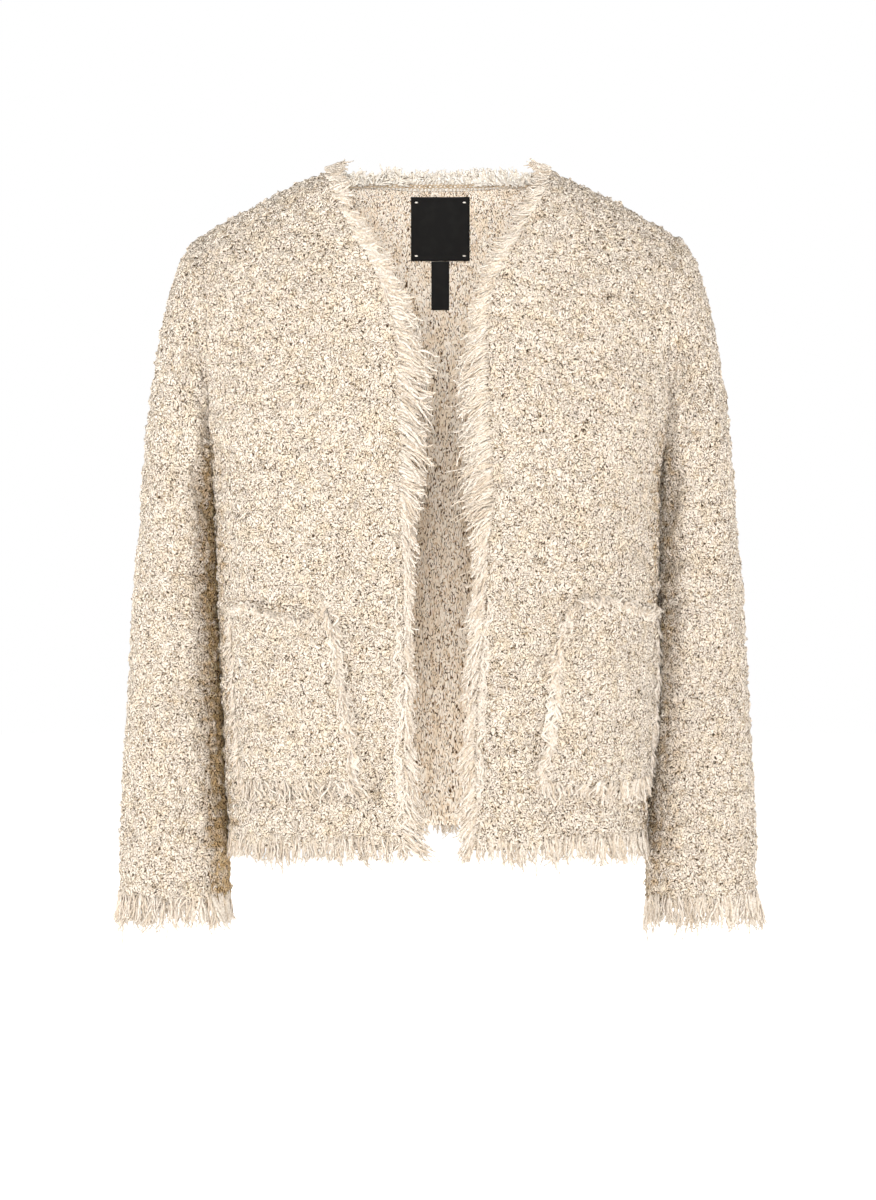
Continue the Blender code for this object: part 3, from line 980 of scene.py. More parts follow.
@dataclass(frozen=True)
class TapeFinish(Finish):
    """Pale knitted tape, its paleness partly painted light: close ribs across its length, with
    painted shade in the grooves.
    """

    # Pale is partly the tape's own colour and partly painted light for the dim inside of the neck.
    pale: Triple = (1.0, 0.96, 0.90)
    groove: Triple = (0.78, 0.65, 0.49)
    rib: float = 3.1
    row: float = 2.48

    def paint(self, nodes: NodeTree) -> None:
        """Adds the finish's nodes."""
        over, down = nodes.cut()
        wander = nodes.noise(nodes.place(), 220.0, 2.0)
        ribs = nodes.math("MULTIPLY_ADD", wander, 1.4, nodes.math("DIVIDE", over, self.rib))
        ribs = nodes.math("ADD", ribs, nodes.math("DIVIDE", down, self.rib))
        rows = nodes.math("ADD", nodes.math("DIVIDE", down, self.row), wander)
        knit = nodes.math("MULTIPLY_ADD", nodes.wave(rows, 2 * math.pi), 0.7,
                          nodes.wave(ribs, 2 * math.pi))
        knit = nodes.remap(knit, -1.5, 0.6)
        # Grooves between the ribs darker: painted shade.
        nodes.finish(nodes.mix(knit, self.groove, self.pale), 0.9, 0.15, Sheen_Weight=0.1,
                     Normal=nodes.bump(knit, 1.0, 0.9))


@dataclass(frozen=True)
class LabelFinish(Finish):
    """Black woven satin: fine crossing threads with a low gloss."""

    black: Triple = (0.0065, 0.0065, 0.0065)
    worn: Triple = (0.012, 0.012, 0.0115)
    # A touch darker between the threads: painted shade.
    between: Triple = (0.006, 0.006, 0.006)
    warp_pitch: float = 0.34
    weft_pitch: float = 0.425

    def paint(self, nodes: NodeTree) -> None:
        """Adds the finish's nodes."""
        over, down = nodes.cut()
        weave = nodes.math("MULTIPLY", nodes.wave(over, 2 * math.pi / self.warp_pitch),
                           nodes.wave(down, 2 * math.pi / self.weft_pitch))
        weave = nodes.remap(weave, -1.0, 1.0, soft=False)
        rubbed = nodes.noise(nodes.place(), 90.0, 3.0)
        colour = nodes.mix(nodes.remap(rubbed, 0.42, 0.7), self.black, self.worn)
        # Painted shade between the threads of the weave.
        colour = nodes.mix(nodes.remap(weave, 0.0, 1.0, 0.35, 0.0, soft=False), colour,
                           self.between)
        nodes.finish(colour, nodes.remap(rubbed, 0.3, 0.8, 0.5, 0.68), 0.16,
                     Normal=nodes.bump(weave, 0.5, 0.12))


@dataclass(frozen=True)
class FloorFinish(Finish):
    """A pale plain floor, faintly uneven in tone."""

    shade: Triple = (0.9, 0.9, 0.89)
    cloud: Triple = (0.86, 0.86, 0.86)
    glow: float = 0.55

    def paint(self, nodes: NodeTree) -> None:
        """Adds the finish's nodes."""
        share = nodes.remap(nodes.noise(nodes.place(), 1.3, 2.0), 0.3, 0.7, 0.0, 0.25)
        nodes.finish(nodes.mix(share, self.shade, self.cloud), 0.9, 0.0,
                     Emission_Color=(1, 1, 1, 1), Emission_Strength=self.glow)


# ---- cloth of the jacket


@dataclass
class Surface:
    """The boucle's own unevenness, the same on every piece so that seams meet.

    SMALL_AWAY and INSIDE_AWAY are how far off in it the small lumps and the inner face's
    are read, so that they differ from the big ones.
    """

    SMALL_AWAY = 400.0
    INSIDE_AWAY = 900.0

    wall: float = 3.0
    big_cell: float = 7.5
    small_cell: float = 4.6
    big: float = 2.3
    small: float = 2.7
    swell_cell: float = 26.0
    swell: float = 0.4
    row_pitch: float = 15.0
    row_depth: float = 0.8
    row_wander: float = 0.35
    wander_cell: float = 70.0
    inner_cell: float = 6.0
    inner_height: float = 0.5
    unevenness: Unevenness = field(default_factory=lambda: Unevenness(31))

    def lumps(self, patch: Patch) -> Array:
        """Heights of the outer face's lumps, about nought on average."""
        uneven, points = self.unevenness, patch.points
        wander = self.row_wander * uneven.swell(points, self.wander_cell)
        row = np.cos(2 * np.pi * (patch.cut[..., 1] / self.row_pitch + wander))
        return (self.big * (uneven.nubs(points, self.big_cell) - 0.25)
                + self.small * (uneven.nubs(points + self.SMALL_AWAY, self.small_cell) - 0.25)
                + self.swell * uneven.swell(points, self.swell_cell)
                - self.row_depth * np.clip(row, -0.2, 1.0) ** 2)

    def folds(self, chart: Array, creases: Sequence[Crease]) -> Array:
        """Heights of all creases together."""
        return sum(crease.height(chart, self.unevenness) for crease in creases)

    def dress(self, patch: Patch, chart: Array, creases: Sequence[Crease], raise_by: Array,
              deep: Array, calm: Array | float = 1.0) -> None:
        """Gives a patch its folds, lumps and thickness.

        Args:
            patch: The patch.
            chart: Each point's place in the plane that the creases are drawn in.
            creases: The creases.
            raise_by: How far the cloth stands off its form besides.
            deep: How much warm painted shade each point gets in the deep of a fold, 0 to 1.
            calm: Share of the lumps that stays.
        """
        folds = self.folds(chart, creases) + raise_by
        inside = self.inner_height * self.unevenness.swell(patch.points + self.INSIDE_AWAY,
                                                           self.inner_cell)
        patch.dress(folds, self.lumps(patch) * calm, self.wall, inside, deep)


def attach(piece: Piece, slot: str, *nodes: str) -> None:
    """Makes a piece ride on the body, in place of its solids.

    Args:
        piece: The piece.
        slot: The record's material slot; not used.
        *nodes: The solids that it stands for.
    """
    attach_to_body(piece, BODY)
    if nodes:
        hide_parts(*nodes)
    log.info("%-24s %7d faces", piece.name, len(piece.data.polygons))


def declare(patches: Sequence[Patch]) -> None:
    """Adds up the area of the patches that a piece of cloth was made from, and does nothing with
    it.

    Args:
        patches: The patches it was made from.
    """
    area = sum(patch.area() for patch in patches)


@dataclass(frozen=True)
class Curls:
    """Boucle curls: short bowed strands that lie on the cloth, their ends tucked in.

    Each pair gives the least and the most of what it names.
    """

    per_square_metre: float = 12500.0
    points: int = 6
    radius: Pair = (1.2, 3.2)
    turn: Pair = (1.8, 5.0)
    squeeze: Pair = (0.45, 1.0)
    thickness: float = 0.72
    lift: float = 1.25
    tuck: float = 0.4
    quick_share: float = 0.25

    def grow(self, parts: MeshParts, patch: Patch, rng: Draws, under: Callable | None = None,
             ) -> None:
        """Adds curls all over a patch's outer face.

        Args:
            parts: The mesh that takes them.
            patch: The dressed patch.
            rng: Source of the curls' differences.
            under: Function of level and share that is true where none are wanted.
        """
        density = self.per_square_metre * 1.0
        count = int(patch.area() * density)
        rows, columns = patch.points.shape[:2]
        down = np.linalg.norm(np.diff(patch.points, axis=0), axis=-1)
        across = np.linalg.norm(np.diff(patch.points, axis=1), axis=-1)
        weight = (down[:, : columns - 1] * across[: rows - 1]).ravel()
        picked = rng.choice(weight.size, count, p=weight / weight.sum())
        row = picked // (columns - 1) + rng.random(count)
        column = picked % (columns - 1) + rng.random(count)
        if under is not None:
            keep = ~under(*(read_grid(grid, row, column) for grid in (patch.level, patch.share)))
            row, column = row[keep], column[keep]
            count = len(row)
        inner_column = np.minimum(column, columns - 2.01)
        row_step = read_grid(down, np.minimum(row, rows - 2.01), inner_column)[:, None]
        column_step = read_grid(across, row, inner_column)[:, None]
        radius, turn = (rng.uniform(*ends, (count, 1)) for ends in (self.radius, self.turn))
        along = np.linspace(0, 1, self.points)
        angle = rng.uniform(0, 2 * np.pi, (count, 1)) + turn * along
        squeeze = rng.uniform(*self.squeeze, (count, 1))
        lean = rng.uniform(0, np.pi, (count, 1))
        side, ahead = radius * np.cos(angle), radius * squeeze * np.sin(angle)
        x = side * np.cos(lean) - ahead * np.sin(lean)
        y = side * np.sin(lean) + ahead * np.cos(lean)
        spots = row[:, None] + y / row_step, column[:, None] + x / column_step
        base = read_grid(patch.outer, *spots, patch.closed)
        normal = unit(read_grid(patch.normals, *spots, patch.closed))
        bow = np.sin(np.pi * along)
        rise = self.lift * rng.uniform(0.45, 1.25, (count, 1)) * bow ** 0.7 - self.tuck
        radii = self.thickness * rng.uniform(0.7, 1.25, (count, 1)) * (0.55 + 0.45 * bow)
        # Curls in a fold take a tone above 1, which the yarn finish paints as fold shade.
        deep = read_grid(patch.deep, row, column, patch.closed)
        tone = np.where(rng.random(count) < deep, 1 + deep, rng.random(count))
        yarn_tubes(parts, base + normal * rise[..., None], radii, normal, tone)


@dataclass(frozen=True)
class Knit:
    """The jacket's boucle: the finishes of its two faces and of the curls on it."""

    outer: Material
    inner: Material
    curls: Material

    def make(self, node: str, slot: str, patches: Sequence[Patch], seed: int,
             curls: Curls = Curls(), under: Callable | None = None, meet_row: int = 0,
             rests_on: Sequence[str] = ()) -> None:
        """Makes one cut piece of cloth and the curls on it.

        Args:
            node: The solid that it stands for.
            slot: The record's material slot.
            patches: The dressed patches that it is made of.
            seed: Start of the curls' random draws.
            curls: How the curls are sown.
            under: Function of level and share that is true where no curls are wanted.
            meet_row: For two halves, the row from which on they meet.
            rests_on: What it lies on; not used.
        """
        cloth = cloth_shell("cloth_" + node, patches, (self.outer, self.inner), meet_row)
        rng = np.random.default_rng(seed)
        parts = MeshParts()
        for patch in patches:
            curls.grow(parts, patch, rng, under)
        grown = parts.make_yarn("curls_" + node, self.curls)
        attach(cloth, slot, node)
        attach(grown, slot)
        declare(patches)


@dataclass(frozen=True)
class Ends:
    """Loose yarn ends, gathered in small locks, that grow from an edge and droop."""

    length: float
    spacing: float = 0.75
    points: int = 8
    thickness: float = 1.0
    comb: float = 0.2
    own_lean: float = 0.2
    lift: float = 0.1
    droop: float = 0.4
    wave: float = 0.32
    hook: float = 0.6
    uneven: float = 0.2
    lock: float = 9.0
    gather: float = 0.16
    stray: float = 0.05
    stack: float = 2.4
    rest: float = 1.8
    beads: float = 0.2
    bead_pitch: float = 6.0
    quick_share: float = 0.4

    def grow(self, parts: MeshParts, edge: Array, way: Array, away: Array, rng: Draws,
             reach: Array | None = None, *, inset: float) -> None:
        """Adds yarn ends along an edge.

        Args:
            parts: The mesh that takes them.
            edge: The edge's points, (n, 3).
            way: Direction in which the ends grow at each point.
            away: Direction away from the cloth at each point.
            rng: Source of their differences.
            reach: Their length at each point as a share of the usual one.
            inset: How far back on the cloth the roots lie at most.
        """
        total = lengths_along(edge)[-1]
        count = max(4, int(total / self.spacing * (1.0)))
        share = np.sort(rng.random(count))
        reach = np.ones(len(edge)) if reach is None else reach
        known = evenly(np.hstack([edge, way, away, reach[:, None]]), share)
        root, way, away = known[:, :3], unit(known[:, 3:6]), unit(known[:, 6:9])
        across = unit(np.cross(way, away))
        knots = max(3, int(total / self.lock) + 1)
        tufts = (np.arange(knots) + rng.uniform(0.2, 0.8, knots)) / knots
        tuft = np.abs(share[:, None] - tufts).argmin(axis=1)
        pull = (evenly(edge, tufts)[tuft] - root) * self.gather * rng.random((count, 1))
        shared = rng.normal(0, 1, (knots, 3))[tuft]
        own = rng.normal(0, 1, (count, 3))
        lean = self.comb * shared[:, :1] + self.own_lean * own[:, :1]
        lift = self.lift * (1 + 0.8 * shared[:, 1:2] + 0.5 * own[:, 1:2])
        size = np.clip(1 + self.uneven * (0.8 * shared[:, 2] + 0.8 * own[:, 2]), 0.4, 1.5)
        free = rng.random(count) < self.stray
        length = (self.length * known[:, 9] * size * np.where(free, 1.5, 1.0))[:, None]
        start = way + across * lean + away * lift
        phase = rng.uniform(0, 2 * np.pi, (count, 2))
        beat = rng.uniform(0.7, 1.7, (count, 2))
        curl = self.hook * rng.normal(0, 1, (count, 2))
        # The third of these is spare: it keeps the later draws in their order.
        deep, over, _ = rng.random((3, count, 1))
        rise = self.stack * (over - 0.6) * (1 - deep) + self.rest * deep
        lines = [root - way * inset * deep + away * rise]
        step = (length + inset * deep) / (self.points - 1)
        for part in np.linspace(0, 1, self.points - 1):
            bend = self.wave * np.sin(2 * np.pi * beat * part + phase) * (0.3 + part)
            bend = bend + curl * part ** 4
            heading = unit(start + across * bend[:, :1] + away * bend[:, 1:] * 0.5
                           + DOWN * self.droop * part)
            lines.append(lines[-1] + heading * step)
        along = np.linspace(0, 1, self.points)
        lines = np.stack(lines, axis=1) + pull[:, None] * along[:, None] ** 1.5
        swell = np.sin(phase[:, :1] + 2 * np.pi * along * length / self.bead_pitch)
        taper = 1 - np.where(free, 0.6, 0.35)[:, None] * along ** 3
        radii = (self.thickness * rng.uniform(0.65, 1.15, (count, 1)) * taper
                 * (1 + self.beads * swell))
        yarn_tubes(parts, lines, radii, across, rng.random(count))


@dataclass(frozen=True)
class Rolls:
    """Smooth pale strands that lie along a raw edge and wander a little on it."""

    spacing: float = 3.1
    span: Pair = (12.0, 38.0)
    points: int = 16
    thickness: float = 1.0
    wander: float = 3.4
    rise: float = 1.6
    sink: float = 0.8
    tone: float = -0.25
    sway_pitches: Triple = (4.6, 2.3, 3.1)

    def grow(self, parts: MeshParts, edge: Array, away: Array, rng: Draws) -> None:
        """Adds the strands.

        Args:
            parts: The mesh that takes them.
            edge: The edge's points, (n, 3).
            away: Direction away from the cloth at each point.
            rng: Source of their differences.
        """
        total = lengths_along(edge)[-1]
        count = max(3, int(total / self.spacing))
        span = rng.uniform(*self.span, count) / total
        start = rng.random(count) * (1 - span)
        part = np.linspace(0, 1, self.points)
        share = start[:, None] + span[:, None] * part
        known = evenly(np.hstack([edge, away]), share.ravel())
        centre = known[:, :3].reshape(count, self.points, 3)
        away = unit(known[:, 3:]).reshape(count, self.points, 3)
        across = unit(np.cross(np.gradient(centre, axis=1), away))
        phases = rng.uniform(0, 2 * np.pi, (3, count, 1))
        wide, fine, high = (np.sin(share * total / pitch + phase)
                            for pitch, phase in zip(self.sway_pitches, phases))
        sway = wide + 0.7 * fine + rng.uniform(-0.6, 0.6, (count, 1))
        lift = self.rise * np.sin(np.pi * part) ** 0.4 + 0.5 * high - self.sink
        lines = centre + across * self.wander * sway[..., None] + away * lift[..., None]
        radii = (self.thickness * rng.uniform(0.7, 1.15, (count, 1))
                 * (0.35 + 0.65 * np.sin(np.pi * part) ** 0.5))
        yarn_tubes(parts, lines, radii, away, self.tone + 0.25 * rng.random(count), sides=4)


def pressed(*creases: tuple) -> tuple[Crease, ...]:
    """Creases from their lines, depths and half widths."""
    return tuple(Crease(*crease) for crease in creases)


@dataclass(frozen=True)
class Side:
    """What is its own on each side of the jacket.

    The sign is that of x there, and the seed starts its front's random draws. The pocket's
    inner and outer sides lie at shares of the front's rows, above and below. Gape, flap and
    sag say how far its top stands open, its outer side hangs loose and its top dips. The
    sleeve gets painted shade where it faces the body more than a least share, given
    above and below, up to a greatest amount.
    """

    name: str
    sign: int
    seed: int
    pocket_inner: Pair
    pocket_outer: Pair
    gape: float
    flap: float
    sag: float
    # Where and how strongly the sleeve's side facing the body gets painted shade.
    painted_shade_from: Pair
    painted_shade_most: float
    creases: tuple[Crease, ...]
    sleeve_creases: tuple[Crease, ...]


SIDES = (
    Side("right", -1, 82, (0.275, 0.19), (0.715, 0.70), gape=0.2, flap=0.0, sag=0.08,
         painted_shade_from=(0.74, 0.4), painted_shade_most=1.15, creases=pressed(
        (((-58, -415), (-54, -460), (-52, -500), (-53, -556)), 3.4, 10),
        (((-184, -236), (-158, -262), (-126, -304), (-108, -350)), 2.4, 11),
        (((-152, -92), (-170, -150), (-180, -212)), 1.6, 12),
        (((-84, -120), (-96, -190), (-90, -262)), -1.3, 20),
        (((-122, -505), (-126, -560)), 2.2, 13),
        (((-60, -250), (-72, -300), (-66, -352)), 1.2, 15),
    ), sleeve_creases=pressed(
        (((96, -240), (112, -268), (140, -300)), 2.6, 9),
        (((84, -330), (118, -344), (160, -338)), 2.8, 8),
        (((92, -372), (134, -364), (176, -380)), 2.6, 8),
        (((200, -300), (242, -322), (280, -312)), 2.6, 9),
        (((212, -352), (250, -346), (286, -366)), 2.2, 9),
        (((36, -420), (62, -470), (84, -540)), 1.5, 13),
        (((300, -430), (316, -500), (300, -570)), 1.6, 13),
        (((232, -120), (250, -170), (240, -220)), 1.8, 13),
    )),
    Side("left", 1, 75, (0.325, 0.285), (0.87, 0.85), gape=0.6, flap=2.2, sag=-0.12,
         painted_shade_from=(0.66, 0.2), painted_shade_most=0.5, creases=pressed(
        (((44, -396), (46, -450), (48, -500), (50, -556)), 2.9, 12),
        (((90, -60), (104, -128), (124, -214)), 2.0, 17),
        (((184, -234), (164, -276), (150, -340)), 3.2, 17),
        (((158, -96), (172, -156), (180, -214)), 1.4, 12),
        (((62, -180), (74, -260), (68, -330)), -1.2, 20),
        (((112, -508), (108, -560)), 2.0, 14),
    ), sleeve_creases=pressed(
        (((98, -246), (116, -270), (142, -310)), 2.5, 9),
        (((88, -318), (124, -336), (164, -330)), 2.7, 8),
        (((96, -362), (132, -372), (172, -362)), 2.5, 8),
        (((204, -306), (244, -316), (284, -330)), 2.5, 9),
        (((208, -360), (252, -358), (282, -350)), 2.1, 9),
        (((46, -430), (60, -490), (80, -552)), 1.5, 13),
        (((296, -410), (312, -480), (304, -560)), 1.7, 13),
        (((236, -116), (246, -168), (236, -224)), 1.7, 13),
    )),
)

BACK_CREASES = pressed(
    (((-66, -236), (-58, -340), (-54, -450), (-58, -560)), 3.0, 17),
    (((58, -220), (66, -330), (58, -440), (52, -560)), 2.8, 16),
    (((4, -300), (-4, -400), (2, -560)), -1.8, 20),
    (((-184, -238), (-160, -262), (-128, -296), (-112, -340)), 2.8, 11),
    (((184, -236), (162, -264), (130, -306), (116, -352)), 2.6, 12),
    (((-124, -420), (-118, -490), (-122, -560)), 2.4, 15),
    (((122, -400), (126, -480), (120, -560)), 2.2, 15),
    (((-150, -96), (-166, -150), (-178, -210)), 1.7, 12),
    (((152, -94), (168, -152), (178, -210)), 1.6, 12),
    (((-136, -58), (-98, -84), (-58, -124)), 1.4, 14),
    (((130, -62), (102, -90), (66, -120)), 1.3, 14),
)


@dataclass(frozen=True)
class Swell:
    """How far the cloth of body or sleeve swells into the crease between them.

    The notch is the place right under the arm, and the flank runs down from it. Facing
    is the share of a point's normal that looks at the other piece.
    """

    notch: float
    notch_from: Pair
    flank: float
    flank_facing: Pair
    flank_below: Pair
    notch_below: Pair = (214.0, 36.0)

    def height(self, facing: Array, below: Array) -> Array:
        """The swell's height.

        Args:
            facing: How far each point faces the other piece, up to 1.
            below: How far it lies below the shoulders.

        Returns:
            How far the cloth stands out there.
        """
        notch = ramp(facing, *self.notch_from) * bell(below, *self.notch_below)
        flank = bell(facing, *self.flank_facing) * ramp(below, *self.flank_below)
        return self.notch * notch + self.flank * flank


@dataclass
class JacketBody:
    """Back and two fronts, each with its curls."""

    form: BodyForm
    surface: Surface
    row_step: float = 2.6
    back_columns: int = 89
    front_columns: int = 83
    neck_pace: float = 1.5
    edge_pace: float = 1.6
    panel_middle: float = 110.0
    back_drop: float = 5.0
    front_drop: float = 9.0
    drop_height: float = 70.0
    swell: Swell = Swell(8.0, (0.15, 0.45), 4.0, (0.62, 0.24), (205.0, 50.0))
    beside_facing: Pair = (0.86, 0.12)
    beside_below: Pair = (192.0, 30.0)
    beside_height: float = 1.2
    # Painted shade on the body's side beside the sleeve, as a share of how far it faces the
    # sleeve.
    beside_painted_shade: float = 0.55
    covered_height: float = -0.9
    covered_calm: float = 0.25
    back_curls: Curls = Curls(9400.0)
    back_seed: int = 33
    pocket_levels: Pair = (12.0, 15.0)
    patches: dict[str, list[Patch]] = field(default_factory=dict)
    meet_row: int = 0

    def at_x(self, x: float, face: Face) -> Callable:
        """Function from levels to the points of the line at one x."""
        return lambda level: self.form.point(level, x, face)

    def neck_edge(self, level: Array) -> Array:
        """Points of the back neckline."""
        return self.form.point(level, self.form.back_neck_x(level), Face.BACK)

    def fill(self, points: Array, normals: Array) -> Array:
        """How far the cloth swells towards the sleeve, most of all under the arm."""
        return self.swell.height(np.abs(normals[..., 0]), -points[..., 2])

    def dress(self, patch: Patch, creases: Sequence[Crease], drop: float,
              covered: Array | bool = False) -> None:
        """Brings a panel down over its fringe's roots and gives it its folds and lumps, and
        painted shade by the sleeve.

        Args:
            patch: The panel.
            creases: Its creases.
            drop: How far its hem comes down.
            covered: Where a pocket covers it and it lies calm.
        """
        above = patch.points[..., 2] - patch.points[-1, :, 2]
        patch.points[..., 2] -= drop * np.clip(1 - above / self.drop_height, 0, 1) ** 2
        beside = (ramp(np.abs(patch.normals[..., 0]), *self.beside_facing)
                  * ramp(-patch.points[..., 2], *self.beside_below))
        open_height = self.beside_height * beside + self.fill(patch.points, patch.normals)
        # Beside the sleeve the panel gets painted shade, besides standing out further.
        self.surface.dress(patch, patch.points[..., ::2], creases,
                           np.where(covered, self.covered_height, open_height),
                           self.beside_painted_shade * beside, np.where(covered, self.covered_calm, 1.0))

    def shape_back(self) -> None:
        """Makes the two halves of the back, which meet below the neckline."""
        form = self.form
        curves = [(1.0, self.at_x(self.panel_middle, Face.BACK)),
                  (self.neck_pace, self.neck_edge)]
        upper = form.levels(0, form.back_neck_level, curves, self.row_step)
        lower = form.levels(form.back_neck_level, form.hem_level, curves[:1], self.row_step)
        levels = np.concatenate([upper, lower[1:]])
        self.meet_row = len(upper) - 1
        halves = [form.panel(levels, form.back_neck_x, sign, Face.BACK, self.back_columns)
                  for sign in (-1, 1)]
        for patch in halves:
            patch.normals[self.meet_row:, 0, 0] = 0.0
            patch.normals = unit(patch.normals)
            self.dress(patch, BACK_CREASES, self.back_drop)
        self.patches["back"] = halves

    def pocket_sides(self, side: Side, level: Array) -> tuple[Array, Array]:
        """Shares of a front's rows at which its pocket's two sides lie."""
        high, low = self.pocket_levels
        part = ramp(level, high, low - high)
        inner, outer = (top + (bottom - top) * part
                        for top, bottom in (side.pocket_inner, side.pocket_outer))
        return inner, outer

    def under_pocket(self, side: Side, level: Array, share: Array) -> Array:
        """Where the front lies under its pocket, a little inside the pocket's edges."""
        inner, outer = self.pocket_sides(side, level)
        high, low = self.pocket_levels
        return ((level > high + 0.3) & (level < low - 0.05)
                & (share > inner + 0.015) & (share < outer - 0.015))

    def shape_front(self, side: Side) -> None:
        """Makes one front."""
        form = self.form

        def edge_x(level: Array) -> Array:
            """Distance of the front's open edge from the middle."""
            return form.at(level)["edge_" + side.name]

        curves = [(1.0, self.at_x(side.sign * self.panel_middle, Face.FRONT)),
                  (self.edge_pace, lambda level: form.point(level, edge_x(level), Face.FRONT))]
        levels = form.levels(0, form.hem_level, curves, self.row_step)
        patch = form.panel(levels, edge_x, side.sign, Face.FRONT, self.front_columns)
        self.dress(patch, side.creases, self.front_drop,
                   self.under_pocket(side, patch.level, patch.share))
        self.patches["front_" + side.name] = [patch]

    def build(self, knit: Knit) -> None:
        """Makes the back and the fronts of the given boucle."""
        self.shape_back()
        for side in SIDES:
            self.shape_front(side)
        knit.make("back", "boucle_knit", self.patches["back"], self.back_seed,
                  self.back_curls, meet_row=self.meet_row)
        for side in SIDES:
            node = "front_" + side.name
            knit.make(node, "boucle_knit", self.patches[node], side.seed,
                      under=partial(self.under_pocket, side))


@dataclass
class Sleeves:
    """The two sleeves with their curls."""

    form: BodyForm
    shape: SleeveForm
    surface: Surface
    rows: int = 216
    columns: int = 148
    chart_width: float = 360.0
    swell: Swell = Swell(7.5, (0.1, 0.5), 4.1, (0.58, 0.25), (190.0, 40.0))
    beside_facing: Pair = (0.7, 0.3)
    beside_height: float = 1.9
    # Heights over which the painted shade's least facing changes, and where it starts below.
    painted_shade_levels: Pair = (300.0, 560.0)
    painted_shade_below: Pair = (192.0, 50.0)
    seed: int = 60
    patches: dict[str, Patch] = field(default_factory=dict)

    def shape_sleeve(self, side: Side) -> Patch:
        """One sleeve, swollen, and with painted shade where it faces the body."""
        patch = self.shape.patch(self.form, side.sign, self.rows, self.columns)
        height = patch.points[..., 2]
        facing, below = -side.sign * patch.normals[..., 0], -height
        # Painted shade on the sleeve's side that faces the body, below the armhole.
        least = np.interp(below, self.painted_shade_levels, side.painted_shade_from)
        deep = (side.painted_shade_most * ramp(facing, least, 1 - least)
                * ramp(below, *self.painted_shade_below))
        beside = ramp(facing, *self.beside_facing) * ramp(below, *self.swell.flank_below)
        chart = np.stack([patch.share * self.chart_width, height], axis=-1)
        self.surface.dress(patch, chart, side.sleeve_creases,
                           self.beside_height * beside + self.swell.height(facing, below),
                           deep)
        return patch

    def build(self, knit: Knit) -> None:
        """Makes the sleeves of the given boucle."""
        for side in SIDES:
            patch = self.patches[side.name] = self.shape_sleeve(side)
            knit.make("sleeve_" + side.name, "boucle_knit", [patch], self.seed + side.sign)


@dataclass
class Pockets:
    """Two patch pockets that bow out from the fronts, with curls."""

    body: JacketBody
    surface: Surface
    rows: int = 69
    columns: int = 55
    stand: float = 1.0
    belly: float = 3.0
    wall: float = 2.0
    lump_rise: float = 0.4
    ripple_cell: float = 30.0
    edge_cell: float = 26.0
    edge_wander: float = 0.016
    lip_height: float = 0.14
    seed: int = 80
    patches: dict[str, Patch] = field(default_factory=dict)

    def shape(self, side: Side) -> Patch:
        """The pocket's grid, read from its front's own grid."""
        front = self.body.patches["front_" + side.name][0]
        high, low = self.body.pocket_levels
        uneven = self.surface.unevenness
        down = np.linspace(0, 1, self.rows)[:, None]
        over = np.linspace(0, 1, self.columns)[None]
        hill, bank = np.sin(np.pi * over), np.sin(np.pi * down)
        spot = np.stack(np.broadcast_arrays(over * 120.0, down * 140.0, side.sign * 300.0), -1)
        ripple = uneven.swell(spot, self.ripple_cell) * hill ** 0.6
        sag = side.sag * np.sin(2 * np.pi * over) + 0.14 * ripple
        level = high + (low - high) * down + sag * (1 - down) ** 2 + 0.03 * ripple * down
        inner, outer = self.body.pocket_sides(side, level)
        wander = self.edge_wander * uneven.swell(spot + 50, self.edge_cell) * (1 - over)
        share = inner + (outer - inner) * over + wander
        row = np.interp(level, front.level[:, 0], np.arange(len(front.level)))
        column = share * (front.points.shape[1] - 1)
        base, cut = (read_grid(grid, row, column) for grid in (front.points, front.cut))
        normals = unit(read_grid(front.normals, row, column))
        lip = side.gape * np.exp(-(down / self.lip_height) ** 2) * hill ** 0.8
        stand = (self.stand + self.belly * (hill ** 0.6 * bank ** 0.5)
                 + lip * (0.8 + 0.5 * ripple) + side.flap * ramp(over, 0.8, 0.2) * bank
                 + self.body.fill(base, normals))
        folds = self.surface.folds(base[..., ::2], side.creases)
        patch = Patch(base + normals * (folds + stand)[..., None], normals, cut, level, share)
        lumps = self.surface.lumps(patch)
        flat = np.zeros_like(lumps)
        patch.dress(flat, lumps + self.lump_rise, self.wall, flat)
        return patch

    def build(self, knit: Knit) -> None:
        """Makes the pockets of the given boucle."""
        for side in SIDES:
            patch = self.patches[side.name] = self.shape(side)
            knit.make("pocket_" + side.name, "pocket_knit", [patch], self.seed + side.sign,
                      rests_on=["cloth_front_" + side.name])


